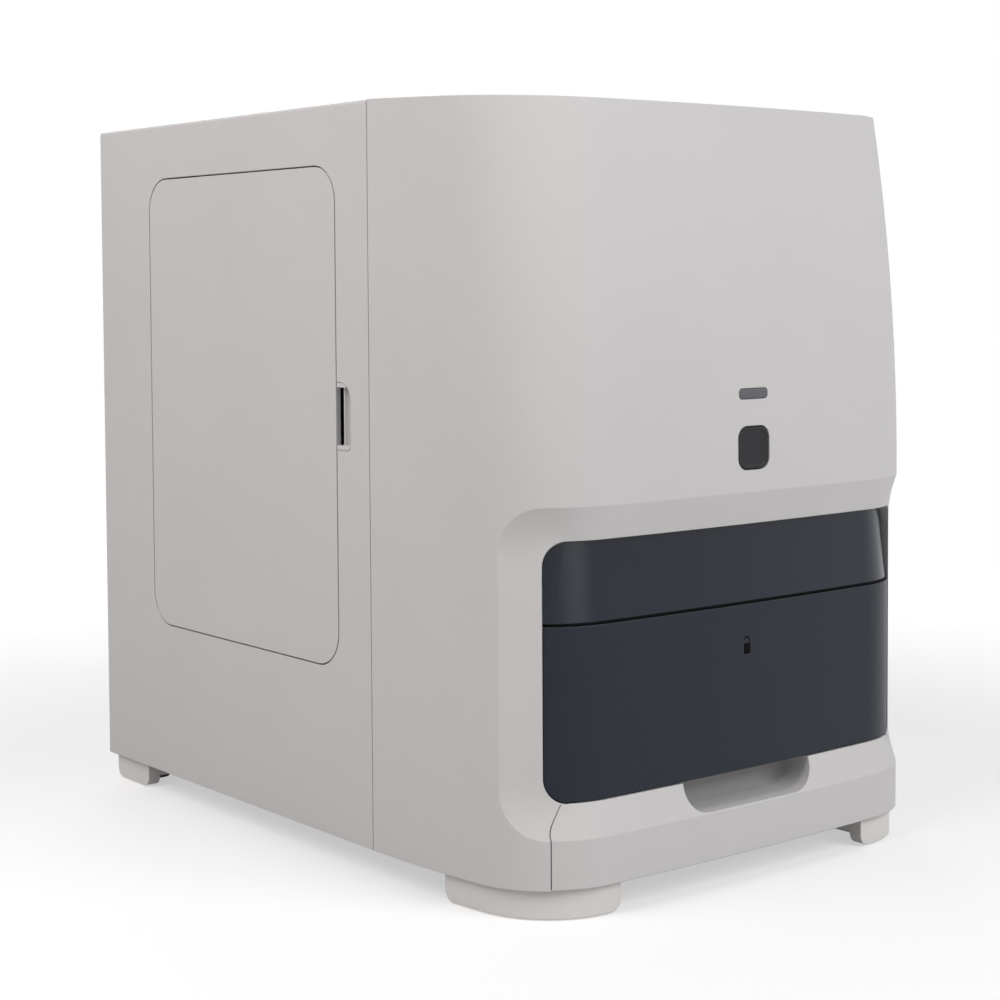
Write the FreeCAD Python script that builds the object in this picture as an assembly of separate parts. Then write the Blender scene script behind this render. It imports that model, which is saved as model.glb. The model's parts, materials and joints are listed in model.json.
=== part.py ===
import FreeCAD, Part
import math
import os
from FreeCAD import Vector

# Benchtop chemistry analyzer: a tall moulded housing with a toed-in, leaning front cover,
# a motor-driven sample drawer, a waste drawer below it and a hinged service door on its left side.
# Millimetres, +Z up, the front looks along -Y. The origin is on the table under the housing's centre.

os.makedirs("parts", exist_ok=True)

# Overall size
width = 255.0
depth = 352.0
body_height = 328.5
foot_height = 13.0
cover_depth = 108.0

# Clearances and the overrun that every cut shares
overrun = 5.0
seam_gap = 0.4
slide_fit = 0.3
drawer_gap = 0.6
door_gap = 0.7
seat_fit = 0.2
shaft_fit = 0.05

# Front cover: plan corner at the foot and at the roof, and how far the roof edge sits back
cover_wall = 3.0
corner_radius = 43.0
side_toe = 4.5
front_bow = 1.8
top_corner_radius = 51.0
top_side_toe = 4.0
top_front_bow = 5.0
top_setback = 8.5
roof_drop = 4.2
section_shares = (0.0, 0.2, 0.4, 0.6, 0.8, 1.0)

# Recess that frames the drawers, heights above the housing's underside
brow_height = 157.7
lean_rise = 4.0
crease_low = 20.8
crease_side = 7.7
crease_corner = 20.0
opening_low = 35.1
brow_drop = 14.2
opening_side = 20.9
opening_corner = 10.5
bevel_depth = 3.8
bevel_run_share = 0.25
jamb_depth = 29.0
curve_steps = 6

# Front strip of the waste drawer, with its finger scoop
strip_side = 20.8
strip_bend_height = 24.1
strip_bend_radius = 12.0
strip_neck = 26.6
strip_thickness = 9.0
strip_lift = 0.5
scoop_width = 77.6
scoop_depth = 13.6
scoop_corner = 12.0
scoop_lip = 10.0
trough_wall = 2.5
trough_reach = 30.0

# Dark drawer front
fascia_recess = 0.5
fascia_wall = 3.0
groove_drop = 35.3
groove_width = 1.2
upper_fascia_step = 0.9
upper_fascia_lean = 3.0
fascia_back = 14.0
lock_width = 4.3
lock_height = 4.8
lock_corner = 0.5
shackle_radius = 1.5
shackle_wall = 0.8
shackle_rise = 1.2
lock_drop = 19.5
lock_glass = 1.2

# Start button and status lamp
button_size = 18.5
button_corner = 5.0
button_rise = 19.2
button_gap = 0.35
button_recess = 0.2
button_bevel = 0.5
button_travel = 1.5
button_flange = 1.6
button_rim = 1.5
button_stem = 4.0
lamp_width = 17.6
lamp_height = 4.8
lamp_rise = 23.5
lamp_corner = 1.9
lamp_flange = 1.2
lamp_rim = 1.5
board_width = 56.0
board_below_button = 16.0
board_above_lamp = 13.6
board_thickness = 1.6
board_setback = 17.0
board_boss_radius = 3.0
board_boss_inset = 5.0
switch_size = 6.0
switch_depth = 3.5
lamp_chip_depth = 2.5

# Main casing
casing_wall = 2.5
casing_edge = 1.4
lip_reach = 6.0
lip_wall = 1.5
ledge_wall = 3.0
ledge_depth = 5.0

# Rear panel
panel_wall = 2.0
panel_recess = 2.0
vent_width = 44.0
vent_slot = 3.0
vent_pitch = 8.0
vent_count = 9
vent_side_clear = 65.5
vent_roof_drop = 127.0
screw_head_radius = 3.2
screw_head_height = 1.6
screw_head_bevel = 0.6
screw_radius = 1.5
screw_inset_x = 12.0
screw_inset_z = 14.0

# Base tray and feet
base_wall = 2.0
base_rim = 14.0
base_inset = 6.0
foot_inset = 2.85
foot_band = 22.0
foot_reach_x = 53.0
foot_start_y = 46.0
foot_corner = 5.0
rear_foot_length = 33.0
rear_foot_width = 34.0
rear_foot_gap = 4.0
foot_skirt = 6.5
foot_step = 5.0
rear_pad_inset = 11.0
pad_radius = 6.5
pad_thickness = 2.5
pad_proud = 0.6

# Service door in the left side, its hinges and its catch
door_wall = 2.5
door_front = 25.5
door_rear_clear = 51.7
door_low = 76.9
door_roof_clear = 27.3
door_corner = 16.0
door_rib_inset = 34.0
door_rib_wall = 2.0
door_rib_height = 4.0
door_rib_corner = 8.0
stop_lap = 5.0
stop_seat = 6.0
stop_wall = 1.8
hinge_setback = 19.0
hinge_depth = 2.6
pin_radius = 1.0
eye_wall = 0.9
eye_clear = 0.2
knuckle_wall = 1.4
knuckle_length = 14.0
arm_wall = 3.0
arm_thickness = 3.0
arm_swing = 21.0
arm_low = 5.0
hinge_base_wall = 2.5
hinge_base_length = 14.0
hinge_rise = 34.0
catch_length = 20.0
catch_width = 8.0
catch_depth = 7.0
catch_drop = 60.0
strike_thickness = 0.8
finger_front = 14.1
finger_low = 174.9
finger_high = 205.2
finger_top_corner = 8.0
finger_low_corner = 3.0
finger_depth = 5.0
finger_wall = 2.0
finger_slot = 2.6
finger_rib = 1.2
finger_rib_drop = 2.0

# Inner frame: two side plates, a shelf between the drawers and the upper deck
frame_clear = 21.5
frame_wall = 2.0
frame_flange = 10.0
frame_front = 32.0
frame_rear_clear = 80.0
frame_window_length = 34.0
frame_window_height = 28.0
frame_window_corner = 6.0
frame_window_count = 4
frame_window_low = 112.0
shelf_height = 37.5
shelf_wall = 1.5
shelf_rear_clear = 65.0
deck_height = 150.0
deck_wall = 2.0
deck_slot_width = 26.0

# Waste drawer
drawer_clear = 14.0
bin_front = 32.0
bin_rear_clear = 80.0
bin_wall = 2.0
bin_low = 4.5
bin_high = 31.0
bin_corner = 8.0
bin_flange = 6.0
bin_flange_wall = 2.5
bin_flange_height = 20.0
guide_wall = 2.0
guide_rear_clear = 50.0
waste_web_wall = 2.0
waste_web_x_shares = (0.28, 0.55, 0.92)

# Sample drawer
tray_wall = 2.5
tray_rear_clear = 75.0
tray_deck = 99.0
tray_skirt_low = 50.0
tray_front_inset = 8.0
tray_front_low = 38.0
tray_front_drop = 2.5
runner_height = 8.0
runner_reach = 9.0
runner_centre = 72.0
rail_wall = 1.2
rail_rear_clear = 5.0
well_wall = 1.5
cup_radius = 12.0
cup_depth = 32.0
cup_y = 50.0
diluent_radius = 7.0
diluent_depth = 28.0
diluent_y = 74.0
diluent_pitch = 20.0
tip_radius = 5.0
tip_depth = 42.0
tip_y = 114.0
slide_well_length = 34.0
slide_well_width = 28.0
slide_well_depth = 42.0
slide_well_y = 56.0
slide_well_x = -52.0

# Drawer drive: a rack under the tray deck, its pinion and motor
gear_module = 1.5
pinion_teeth = 14
rack_teeth = 36
gear_face = 6.0
gear_backlash = 0.35
pressure_angle = 20.0
flank_steps = 4
rack_back = 4.0
rack_front = 20.0
drive_clear = 34.0
drive_y = 55.0
drive_motor_radius = 14.0
drive_shaft_radius = 2.5
pinion_boss_radius = 5.0
pinion_boss_height = 3.0
gear_deck_gap = 1.0

# Pipettor
pipette_drive_gap = 38.0
gantry_pipette_gap = 40.0
gantry_wall = 2.5
gantry_front = 28.0
gantry_rear_clear = 58.0
gantry_height = 96.0
gantry_flange = 24.0
gantry_foot = 18.0
gantry_rib_height = 16.0
rod_radius = 3.0
rod_gantry_gap = 13.0
rod_low = 52.0
rod_high = 78.0
carriage_length = 34.0
carriage_thickness = 14.0
carriage_margin = 7.0
head_width = 18.0
head_depth = 12.0
head_rail_width = 8.0
head_rail_depth = 3.0
head_low = 50.0
head_roof_clear = 15.0
nozzle_radius = 3.0
nozzle_tip_radius = 1.6
nozzle_length = 24.0
gantry_motor_size = 28.0
gantry_motor_length = 26.0

# Incubator
incubator_x = -30.0
incubator_rear_clear = 93.0
incubator_radius = 68.0
incubator_base_height = 18.0
incubator_rim = 5.0
incubator_rotor_radius = 61.0
incubator_rotor_thickness = 7.0
incubator_gap = 1.5
incubator_slot_length = 26.0
incubator_slot_width = 9.0
incubator_slot_depth = 4.0
incubator_slot_count = 12
incubator_hub_radius = 10.0
incubator_hub_height = 12.0
incubator_shaft_radius = 4.0
incubator_motor_radius = 18.0
incubator_motor_height = 24.0
reader_width = 34.0
reader_depth = 26.0
reader_height = 46.0
reader_arm = 22.0
reader_arm_height = 12.0
reader_lens_radius = 5.0
reader_lens_length = 5.0

# Electronics and the rear connections
supply_width = 92.0
supply_depth = 46.0
supply_height = 52.0
supply_x = -40.0
supply_slot = 3.0
supply_slot_pitch = 8.0
supply_slot_count = 6
main_board_width = 120.0
main_board_height = 110.0
main_board_x = 36.0
main_board_drop = 127.0
main_board_gap = 16.0
standoff_radius = 3.0
standoff_inset = 8.0
chip_size = 22.0
chip_height = 3.0
inlet_width = 27.0
inlet_height = 20.0
inlet_depth = 18.0
inlet_cavity = 15.0
inlet_rim = 2.5
inlet_rim_depth = 1.2
inlet_corner = 3.0
inlet_wall = 2.0
inlet_side_clear = 45.5
inlet_z = 40.0
blade_width = 2.0
blade_height = 4.0
blade_length = 11.0
blade_pitch = 7.0
switch_pitch = 38.0
rocker_width = 12.0
rocker_height = 20.0
rocker_depth = 5.0
rocker_tilt = 8.0
rocker_pivot_radius = 1.2
rocker_gap = 0.4
switch_wall = 2.0
switch_body_depth = 14.0
port_pitch = 32.0
port_width = 16.0
port_height = 14.0
port_depth = 17.0
port_cavity_width = 12.0
port_cavity_height = 9.0
port_cavity_depth = 12.0
fan_x = 58.0
fan_z = 95.0
fan_size = 80.0
fan_depth = 25.0
fan_corner = 6.0
fan_bore = 37.5
fan_hub_radius = 17.0
fan_blade_gap = 1.5
fan_blade_count = 7
fan_blade_wall = 1.6
fan_blade_pitch = 32.0
fan_hub_depth = 15.0
fan_strut_width = 5.0
fan_strut_depth = 4.0
fan_axle_radius = 2.5
guard_wire = 1.2
guard_ring_count = 4
guard_ring_pitch = 9.5
guard_spoke_reach = 42.0

# Places worked out from the sizes above
half = width / 2
front_y = -depth / 2
rear_y = depth / 2
seam_y = front_y + cover_depth
floor_z = foot_height
roof_z = foot_height + body_height
lean_z = floor_z + brow_height + lean_rise
jamb_y = front_y + jamb_depth
deck_z = floor_z + deck_height
deck_top = deck_z + deck_wall
base_top = floor_z + base_wall
opening_high = brow_height - brow_drop
groove_height = opening_high - groove_drop
lock_height_above = groove_height - lock_drop
button_height = brow_height + button_rise
lamp_centre = button_height + lamp_rise
board_low = button_height - board_below_button
board_high = lamp_centre + board_above_lamp
vent_low = body_height - vent_roof_drop
main_board_low = body_height - main_board_drop
head_high = roof_z - deck_top - head_roof_clear
vent_centre_x = vent_side_clear - half
inlet_x = inlet_side_clear - half
switch_x = inlet_x + switch_pitch
port_x = switch_x + port_pitch
door_rear = depth - cover_depth - door_rear_clear
door_high = body_height - door_roof_clear
frame_x = half - frame_clear
frame_rear = depth - frame_rear_clear
shelf_rear = frame_rear - shelf_rear_clear
drawer_half_width = frame_x - drawer_clear
bin_rear = frame_rear - bin_rear_clear
guide_rear = frame_rear - guide_rear_clear
tray_rear = frame_rear - tray_rear_clear
tray_front_side = drawer_half_width - tray_front_inset
tray_front_high = opening_high - tray_front_drop
rail_rear = frame_rear - rail_rear_clear
drive_x = drawer_half_width - drive_clear
pipette_x = drive_x - pipette_drive_gap
gantry_x = pipette_x + gantry_pipette_gap
rod_x = gantry_x - rod_gantry_gap
gantry_rear = frame_rear - gantry_rear_clear
incubator_y = frame_rear - incubator_rear_clear


def box(x0, x1, y0, y1, z0, z1):
    """Block between two corners."""
    return Part.makeBox(x1 - x0, y1 - y0, z1 - z0, Vector(x0, y0, z0))


def rod(radius, start, axis, length):
    """Cylinder from a start point along an axis."""
    return Part.makeCylinder(radius, length, start, axis)


def along(axis, shape):
    """Straight edges of a shape that run along an axis."""
    found = []
    for edge in shape.Edges:
        run = edge.Vertexes[-1].Point - edge.Vertexes[0].Point
        if run.Length > 0 and run.normalize().cross(axis).Length < 1e-6:
            found.append(edge)
    return found


def rounded(axis, radius, x0, x1, y0, y1, z0, z1):
    """Block whose four edges along one axis are rounded."""
    block = box(x0, x1, y0, y1, z0, z1)
    return block.makeFillet(radius, along(axis, block))


def mirrored(shape):
    """The same shape on the other side of the middle plane."""
    return shape.mirror(Vector(0, 0, 0), Vector(1, 0, 0))


def fused(shapes):
    """One shape from several that touch."""
    return shapes[0].multiFuse(shapes[1:]).removeSplitter()


def save(name, shape):
    """Write one node, a solid or a group of solids."""
    shape.exportStep("parts/" + name + ".step")


X = Vector(1, 0, 0)
Y = Vector(0, 1, 0)
Z = Vector(0, 0, 1)


# Plan outline of the front cover

def setback(z):
    """How far the front face leans back at a height, on one arc from the brow to the roof."""
    rise = max(z - lean_z, 0)
    full = roof_z - lean_z
    lean_radius = (full ** 2 + top_setback ** 2) / (2 * top_setback)
    return lean_radius - math.sqrt(lean_radius ** 2 - rise ** 2)


def plan_arcs(z):
    """Centre and radius of the right side, corner and front arcs, which meet in tangents."""
    share = setback(z) / top_setback
    reach = cover_depth - setback(z)
    radius = corner_radius + share * (top_corner_radius - corner_radius)
    toe = side_toe + share * (top_side_toe - side_toe)
    bow = front_bow + share * (top_front_bow - front_bow)
    across = radius + toe
    back = radius + bow
    side_radius = (across ** 2 - radius ** 2 + (reach - back) ** 2) / (2 * toe)
    front_radius = ((half - across) ** 2 + back ** 2 - radius ** 2) / (2 * bow)
    corner = Vector(half - across, seam_y - reach + back, 0)
    side = Vector(half - side_radius, seam_y, 0)
    front = Vector(0, seam_y - reach + front_radius, 0)
    return side, side_radius, corner, radius, front, front_radius


def unit(vector):
    """The direction of a vector."""
    return vector / vector.Length


def flipped(point):
    """The same point on the other side of the middle plane."""
    return Vector(-point.x, point.y, point.z)


def outline(z, inset):
    """Closed plan outline of the cover at a height, moved in from the face by the inset."""
    side, side_radius, corner, radius, front, front_radius = plan_arcs(z)
    to_side = unit(corner - side)
    to_front = unit(corner - front)
    lift = Z * z
    seam = side + X * (side_radius - inset) + lift
    side_mid = side + unit(X + to_side) * (side_radius - inset) + lift
    bend = corner + to_side * (radius - inset) + lift
    bend_mid = corner + unit(to_side + to_front) * (radius - inset) + lift
    turn = corner + to_front * (radius - inset) + lift
    nose = front - Y * (front_radius - inset) + lift
    arcs = (
        Part.Arc(seam, side_mid, bend),
        Part.Arc(bend, bend_mid, turn),
        Part.Arc(turn, nose, flipped(turn)),
        Part.Arc(flipped(turn), flipped(bend_mid), flipped(bend)),
        Part.Arc(flipped(bend), flipped(side_mid), flipped(seam)),
        Part.LineSegment(flipped(seam), seam),
    )
    return Part.Wire([arc.toShape() for arc in arcs])


def plan_slab(inset, z0, z1):
    """Upright slab with the cover's plan outline, below the height where the front leans."""
    return Part.Face(outline(z0, inset)).extrude(Z * (z1 - z0))


def plan_block(inset, z0, z1):
    """Block with the cover's plan outline: upright below, leaning back towards the roof."""
    sections = [outline(lean_z + share * (z1 - lean_z), inset) for share in section_shares]
    return plan_slab(inset, z0, lean_z).fuse(Part.makeLoft(sections, True, False))


# Loops on the cover's face, for the recess that frames the drawers

def side_angle(side, inset):
    """Angle on the right plan corner of the point that lies a distance in from the side plane."""
    corner, radius = plan_arcs(floor_z)[2:4]
    return math.acos((half - side - corner.x) / (radius - inset))


def face_loop(angle, low, high, corner_size, inset):
    """Rounded rectangle wrapped on the cover's face, as twelve lists of points."""
    corner, radius, front, front_radius = plan_arcs(floor_z)[2:6]
    turn = unit(corner - front)
    turn_angle = math.atan2(-turn.y, turn.x)
    face_radius = radius - inset
    round_angle = angle + corner_size / face_radius
    steps = [step / curve_steps for step in range(curve_steps + 1)]

    def on_corner(at, z):
        return Vector(corner.x + face_radius * math.cos(at), corner.y - face_radius * math.sin(at), z)

    def on_front(share, z):
        sweep = (math.pi / 2 - turn_angle) * share
        arm = front_radius - inset
        return Vector(front.x + arm * math.sin(sweep), front.y - arm * math.cos(sweep), z)

    def bend(edge_z, sense):
        points = []
        for step in steps:
            along_arc = corner_size * (1 - math.sin(step * math.pi / 2))
            drop = corner_size * (1 - math.cos(step * math.pi / 2))
            points.append(on_corner(angle + along_arc / face_radius, edge_z - sense * drop))
        return points

    def ledge(z):
        return [on_corner(turn_angle + (round_angle - turn_angle) * step, z) for step in steps]

    top = [on_front(2 * step - 1, high) for step in steps]
    foot = [on_front(1 - 2 * step, low) for step in steps]
    upright = [on_corner(angle, high - corner_size), on_corner(angle, low + corner_size)]
    right = [ledge(high), bend(high, 1), upright, bend(low, -1)[::-1], ledge(low)[::-1]]
    left = [[flipped(point) for point in edge[::-1]] for edge in right[::-1]]
    return [top] + right + [foot] + left


def loop_wire(loop):
    """Closed wire through the twelve lists of points."""
    edges = []
    for points in loop:
        if len(points) == 2:
            edges.append(Part.LineSegment(points[0], points[1]).toShape())
        else:
            curve = Part.BSplineCurve()
            curve.interpolate(points)
            edges.append(curve.toShape())
    return Part.Wire(edges)


def at_depth(loop, y):
    """The loop moved straight back or forward onto one upright plane."""
    return [[Vector(point.x, y, point.z) for point in points] for points in loop]


def beyond(outer, inner):
    """The outer loop moved a little further out along the bevel."""
    moved = []
    for outer_points, inner_points in zip(outer, inner):
        pairs = zip(outer_points, inner_points)
        moved.append([a + (a - b) * bevel_run_share for a, b in pairs])
    return moved


def recess_tool(grow, back_y):
    """Solid that fills the recess: wide in front, bevelled in to the opening, then straight back."""
    crease_angle = side_angle(crease_side, 0) - grow / (corner_radius - grow)
    opening_angle = side_angle(opening_side - grow, bevel_depth + grow)
    crease = face_loop(crease_angle, floor_z + crease_low - grow, floor_z + brow_height + grow,
                       crease_corner + grow, grow)
    opening = face_loop(opening_angle, floor_z + opening_low - grow, floor_z + opening_high + grow,
                        opening_corner + grow, bevel_depth + grow)
    rim = beyond(crease, opening)
    loops = [at_depth(rim, front_y - cover_depth), rim, opening, at_depth(opening, back_y)]
    return Part.makeLoft([loop_wire(loop) for loop in loops], True, True)


def opening_prism(gap, front, back):
    """Straight prism with the drawer opening's outline, smaller all round by the gap."""
    angle = side_angle(opening_side + gap, bevel_depth)
    loop = face_loop(angle, floor_z + opening_low + gap, floor_z + opening_high - gap,
                     opening_corner - gap, bevel_depth)
    return Part.Face(loop_wire(at_depth(loop, front))).extrude(Y * (back - front))


def strip_prism(gap, back):
    """Prism of the front strip: upright ends that slant in under the dark drawer front."""
    y = front_y - overrun
    foot = Vector(half - strip_side - gap, y, floor_z - overrun)
    knee = Vector(foot.x, y, floor_z + strip_bend_height)
    end = Vector(half - strip_neck - gap, y, floor_z + opening_low)
    slant = unit(end - knee)
    turn = math.acos(slant.z)
    run = strip_bend_radius * math.tan(turn / 2)
    start = knee - Z * run
    stop = knee + slant * run
    middle = knee + unit(slant - Z) * strip_bend_radius * (1 / math.cos(turn / 2) - 1)
    edges = (
        Part.LineSegment(flipped(foot), foot),
        Part.LineSegment(foot, start),
        Part.Arc(start, middle, stop),
        Part.LineSegment(stop, end),
        Part.LineSegment(end, flipped(end)),
        Part.LineSegment(flipped(end), flipped(stop)),
        Part.Arc(flipped(stop), flipped(middle), flipped(start)),
        Part.LineSegment(flipped(start), flipped(foot)),
    )
    wire = Part.Wire([edge.toShape() for edge in edges])
    return Part.Face(wire).extrude(Y * (back - y))


# Front cover

def roof_wedge():
    """What lies above the cover's roof, which falls a little towards the front."""
    fall = roof_drop * (cover_depth + overrun) / cover_depth
    points = [
        Vector(-half - overrun, seam_y, roof_z),
        Vector(-half - overrun, front_y - overrun, roof_z - fall),
        Vector(-half - overrun, front_y - overrun, roof_z + overrun),
        Vector(-half - overrun, seam_y, roof_z + overrun),
    ]
    face = Part.Face(Part.makePolygon(points + points[:1]))
    return face.extrude(X * (width + 2 * overrun))


def button_window(gap, y0, y1):
    """Rounded square prism of the start button."""
    size = button_size / 2 + gap
    z = floor_z + button_height
    return rounded(Y, button_corner + gap, -size, size, y0, y1, z - size, z + size)


def lamp_window(grow, y0, y1):
    """Long rounded prism of the status lamp."""
    z = floor_z + lamp_centre
    high = lamp_height / 2 + grow
    reach = lamp_width / 2 + grow
    return rounded(Y, lamp_corner + grow, -reach, reach, y0, y1, z - high, z + high)


def board_corners():
    """Fixing points of the switch board."""
    x = board_width / 2 - board_boss_inset
    low = floor_z + board_low + board_boss_inset
    high = floor_z + board_high - board_boss_inset
    return [(sx * x, z) for sx in (-1, 1) for z in (low, high)]


def front_cover():
    """Moulded front: wall, recess frame with its jamb, windows, and bosses for the switch board."""
    full = plan_block(0, floor_z, roof_z).cut(roof_wedge())
    hollow = plan_block(cover_wall, floor_z - overrun, roof_z - roof_drop - cover_wall)
    frame = full.common(recess_tool(cover_wall, jamb_y))
    bosses = []
    board_y = front_y + board_setback
    for x, z in board_corners():
        boss = rod(board_boss_radius, Vector(x, front_y, z), Y, board_setback)
        bosses.append(boss.common(full))
    cover = full.cut(hollow).fuse([frame] + bosses)
    cover = cover.cut([
        recess_tool(0, jamb_y + overrun),
        strip_prism(0, jamb_y + overrun),
        button_window(button_gap, front_y - overrun, board_y - board_thickness),
        lamp_window(0, front_y - overrun, board_y - board_thickness),
        box(-width, width, seam_y - seam_gap, seam_y + overrun, 0, roof_z + overrun),
    ])
    return cover.removeSplitter()


def wall_y(height):
    """Front face of the cover on the middle plane, at a height above the underside."""
    return front_y + setback(floor_z + height)


def start_button():
    """Cap with a rear flange and a stem that reaches the switch."""
    face = wall_y(button_height) + button_recess
    flange_y = wall_y(button_height + button_size / 2 + button_rim) + cover_wall + seat_fit
    board_y = front_y + board_setback
    z = floor_z + button_height
    cap = button_window(0, face, flange_y + button_flange)
    rim = [edge for edge in cap.Edges if abs(edge.CenterOfMass.y - face) < 1e-6]
    cap = cap.makeChamfer(button_bevel, rim)
    flange = button_window(button_rim, flange_y, flange_y + button_flange)
    stem_end = board_y - switch_depth - slide_fit - button_travel
    stem = rod(button_stem / 2, Vector(0, flange_y, z), Y, stem_end - flange_y)
    return fused([cap, flange, stem])


def lamp_lens():
    """Clear lens seated in its window, with a rim behind the wall."""
    face = wall_y(lamp_centre)
    rim_y = wall_y(lamp_centre + lamp_height / 2 + lamp_rim) + cover_wall + seat_fit
    lens = lamp_window(-seat_fit / 2, face, rim_y + lamp_flange)
    return fused([lens, lamp_window(lamp_rim, rim_y, rim_y + lamp_flange)])


def switch_board():
    """Board behind the start button, with the push switch and the lamp's light source."""
    y = front_y + board_setback
    x = board_width / 2
    board = box(-x, x, y, y + board_thickness, floor_z + board_low, floor_z + board_high)
    size = switch_size / 2
    z = floor_z + button_height
    switch = box(-size, size, y - switch_depth, y, z - size, z + size)
    z = floor_z + lamp_centre
    chip = box(-size, size, y - lamp_chip_depth, y, z - size / 2, z + size / 2)
    return fused([board, switch, chip])


# Drawer fronts

def drawer_fascia_lower():
    """Lower dark panel: curved in plan, with a flat back where it meets the tray."""
    low = floor_z + opening_low
    high = floor_z + groove_height
    inset = bevel_depth + fascia_recess
    slab = plan_slab(inset, low, high)
    shell = slab.cut(plan_slab(inset + fascia_wall, low - overrun, high + overrun))
    plate = slab.common(box(-width, width, front_y, front_y + fascia_back, low, high))
    panel = shell.fuse(plate).common(opening_prism(drawer_gap, front_y, seam_y - overrun))
    window = lock_prism(-overrun, lock_glass)
    return panel.cut(window).removeSplitter()


def lock_prism(start, glass):
    """Lock lamp in the shape of an open padlock, measured from the panel's face."""
    y0 = front_y + bevel_depth + fascia_recess + start
    y1 = y0 + glass - start
    z = floor_z + lock_height_above
    x = lock_width / 2
    top = z + lock_height / 2
    case = rounded(Y, lock_corner, -x, x, y0, y1, z - lock_height / 2, top)
    outer = shackle_radius + shackle_wall / 2
    inner = shackle_radius - shackle_wall / 2
    middle = x - lock_corner - outer
    bend = Vector(middle, y0, top + shackle_rise)
    arch = rod(outer, bend, Y, y1 - y0).cut(rod(inner, bend - Y * overrun, Y, y1 - y0 + 2 * overrun))
    arch = arch.common(box(middle - outer, middle + outer, y0, y1, bend.z, bend.z + outer))
    leg = box(middle + inner, middle + outer, y0, y1, z, bend.z)
    return fused([case, leg, arch])


def drawer_fascia_upper():
    """Upper dark panel, which leans back a little above the groove."""
    low = floor_z + groove_height + groove_width
    high = floor_z + opening_high
    inset = bevel_depth + fascia_recess + upper_fascia_step
    shares = (inset, inset + upper_fascia_lean)
    outer = Part.makeLoft([outline(low, shares[0]), outline(high, shares[1])], True, True)
    inner = Part.makeLoft([outline(low, shares[0] + fascia_wall),
                           outline(high, shares[1] + fascia_wall)], True, True)
    plate = outer.common(box(-width, width, front_y, front_y + fascia_back, low, high))
    panel = outer.cut(inner).fuse(plate)
    return panel.common(opening_prism(drawer_gap, front_y, seam_y - overrun)).removeSplitter()


def scoop_profile(grow, low_drop, y0, y1):
    """Wide U of the finger scoop, with rounded lower corners."""
    x = scoop_width / 2 + grow
    top = floor_z + opening_low
    low = top - scoop_depth - low_drop
    block = box(-x, x, y0, y1, low, top + overrun)
    lower = [edge for edge in along(Y, block) if edge.CenterOfMass.z < top]
    return block.makeFillet(scoop_corner, lower)


def waste_drawer_front():
    """Light front strip with its bevel, finger scoop, trough and rear webs."""
    low = floor_z + strip_lift
    top = floor_z + opening_low
    full = plan_slab(0, low, top + overrun).cut(recess_tool(0, jamb_y + overrun))
    strip = full.cut(plan_slab(strip_thickness, low - overrun, top + 2 * overrun))
    strip = strip.common(strip_prism(drawer_gap / 2, seam_y))
    back_y = front_y + bin_front
    face_y = front_y + strip_thickness
    webs = []
    for share in waste_web_x_shares:
        for sense in (-1, 1):
            x = sense * share * drawer_half_width
            webs.append(box(x - waste_web_wall / 2, x + waste_web_wall / 2, face_y - trough_wall, back_y,
                            floor_z + bin_low, floor_z + bin_high))
    skin = trough_wall
    trough = scoop_profile(skin, skin, face_y - skin, front_y + trough_reach)
    trough = trough.common(box(-width, width, front_y, seam_y, low, top - drawer_gap))
    floor_plate = box(-drawer_half_width, drawer_half_width, face_y - skin, back_y,
                      floor_z + bin_low, floor_z + bin_low + waste_web_wall)
    body = strip.fuse(webs + [trough, floor_plate])
    scoop = scoop_profile(0, 0, front_y - overrun, front_y + trough_reach - skin)
    inner_low = [edge for edge in scoop.Edges
                 if abs(edge.CenterOfMass.y - front_y - trough_reach + skin) < 1e-6
                 and edge.CenterOfMass.z < top]
    scoop = scoop.makeFillet(scoop_lip, inner_low)
    return body.cut(scoop).removeSplitter()


def waste_bin():
    """Open bin with rounded corners and side flanges that run in the guides."""
    y0 = front_y + bin_front
    y1 = front_y + bin_rear
    z0 = floor_z + bin_low
    z1 = floor_z + bin_high
    outer = rounded(Z, bin_corner, -drawer_half_width, drawer_half_width, y0, y1, z0, z1)
    wall = bin_wall
    inner = rounded(Z, bin_corner - wall, wall - drawer_half_width, drawer_half_width - wall,
                    y0 + wall, y1 - wall, z0 + wall, z1 + overrun)
    z = floor_z + bin_flange_height
    flanges = []
    for sense in (-1, 1):
        edge = sorted((sense * (drawer_half_width - wall), sense * (drawer_half_width + bin_flange)))
        flanges.append(box(edge[0], edge[1], y0 + bin_corner, y1 - bin_corner, z, z + bin_flange_wall))
    return outer.fuse(flanges).cut(inner).removeSplitter()


def waste_guide():
    """Right guide channel of the waste bin, on the base tray."""
    y0 = front_y + frame_front
    y1 = front_y + guide_rear
    inner_x = drawer_half_width + slide_fit
    outer_x = drawer_half_width + bin_flange + slide_fit
    z = floor_z + bin_flange_height
    low = z - slide_fit
    high = z + bin_flange_wall + slide_fit
    block = box(inner_x, outer_x + guide_wall, y0, y1, base_top, high + guide_wall)
    groove = box(inner_x - overrun, outer_x, y0 - overrun, y1 + overrun, low, high)
    return block.cut(groove)


# Sample drawer

def well(radius, x, y, bottom):
    """Outer and inner cylinder of a round well that hangs from the tray deck."""
    top = floor_z + tray_deck
    low = top - bottom
    outer = rod(radius + well_wall, Vector(x, y, low - well_wall), Z, bottom + well_wall)
    inner = rod(radius, Vector(x, y, low), Z, bottom + overrun)
    return outer, inner


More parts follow.
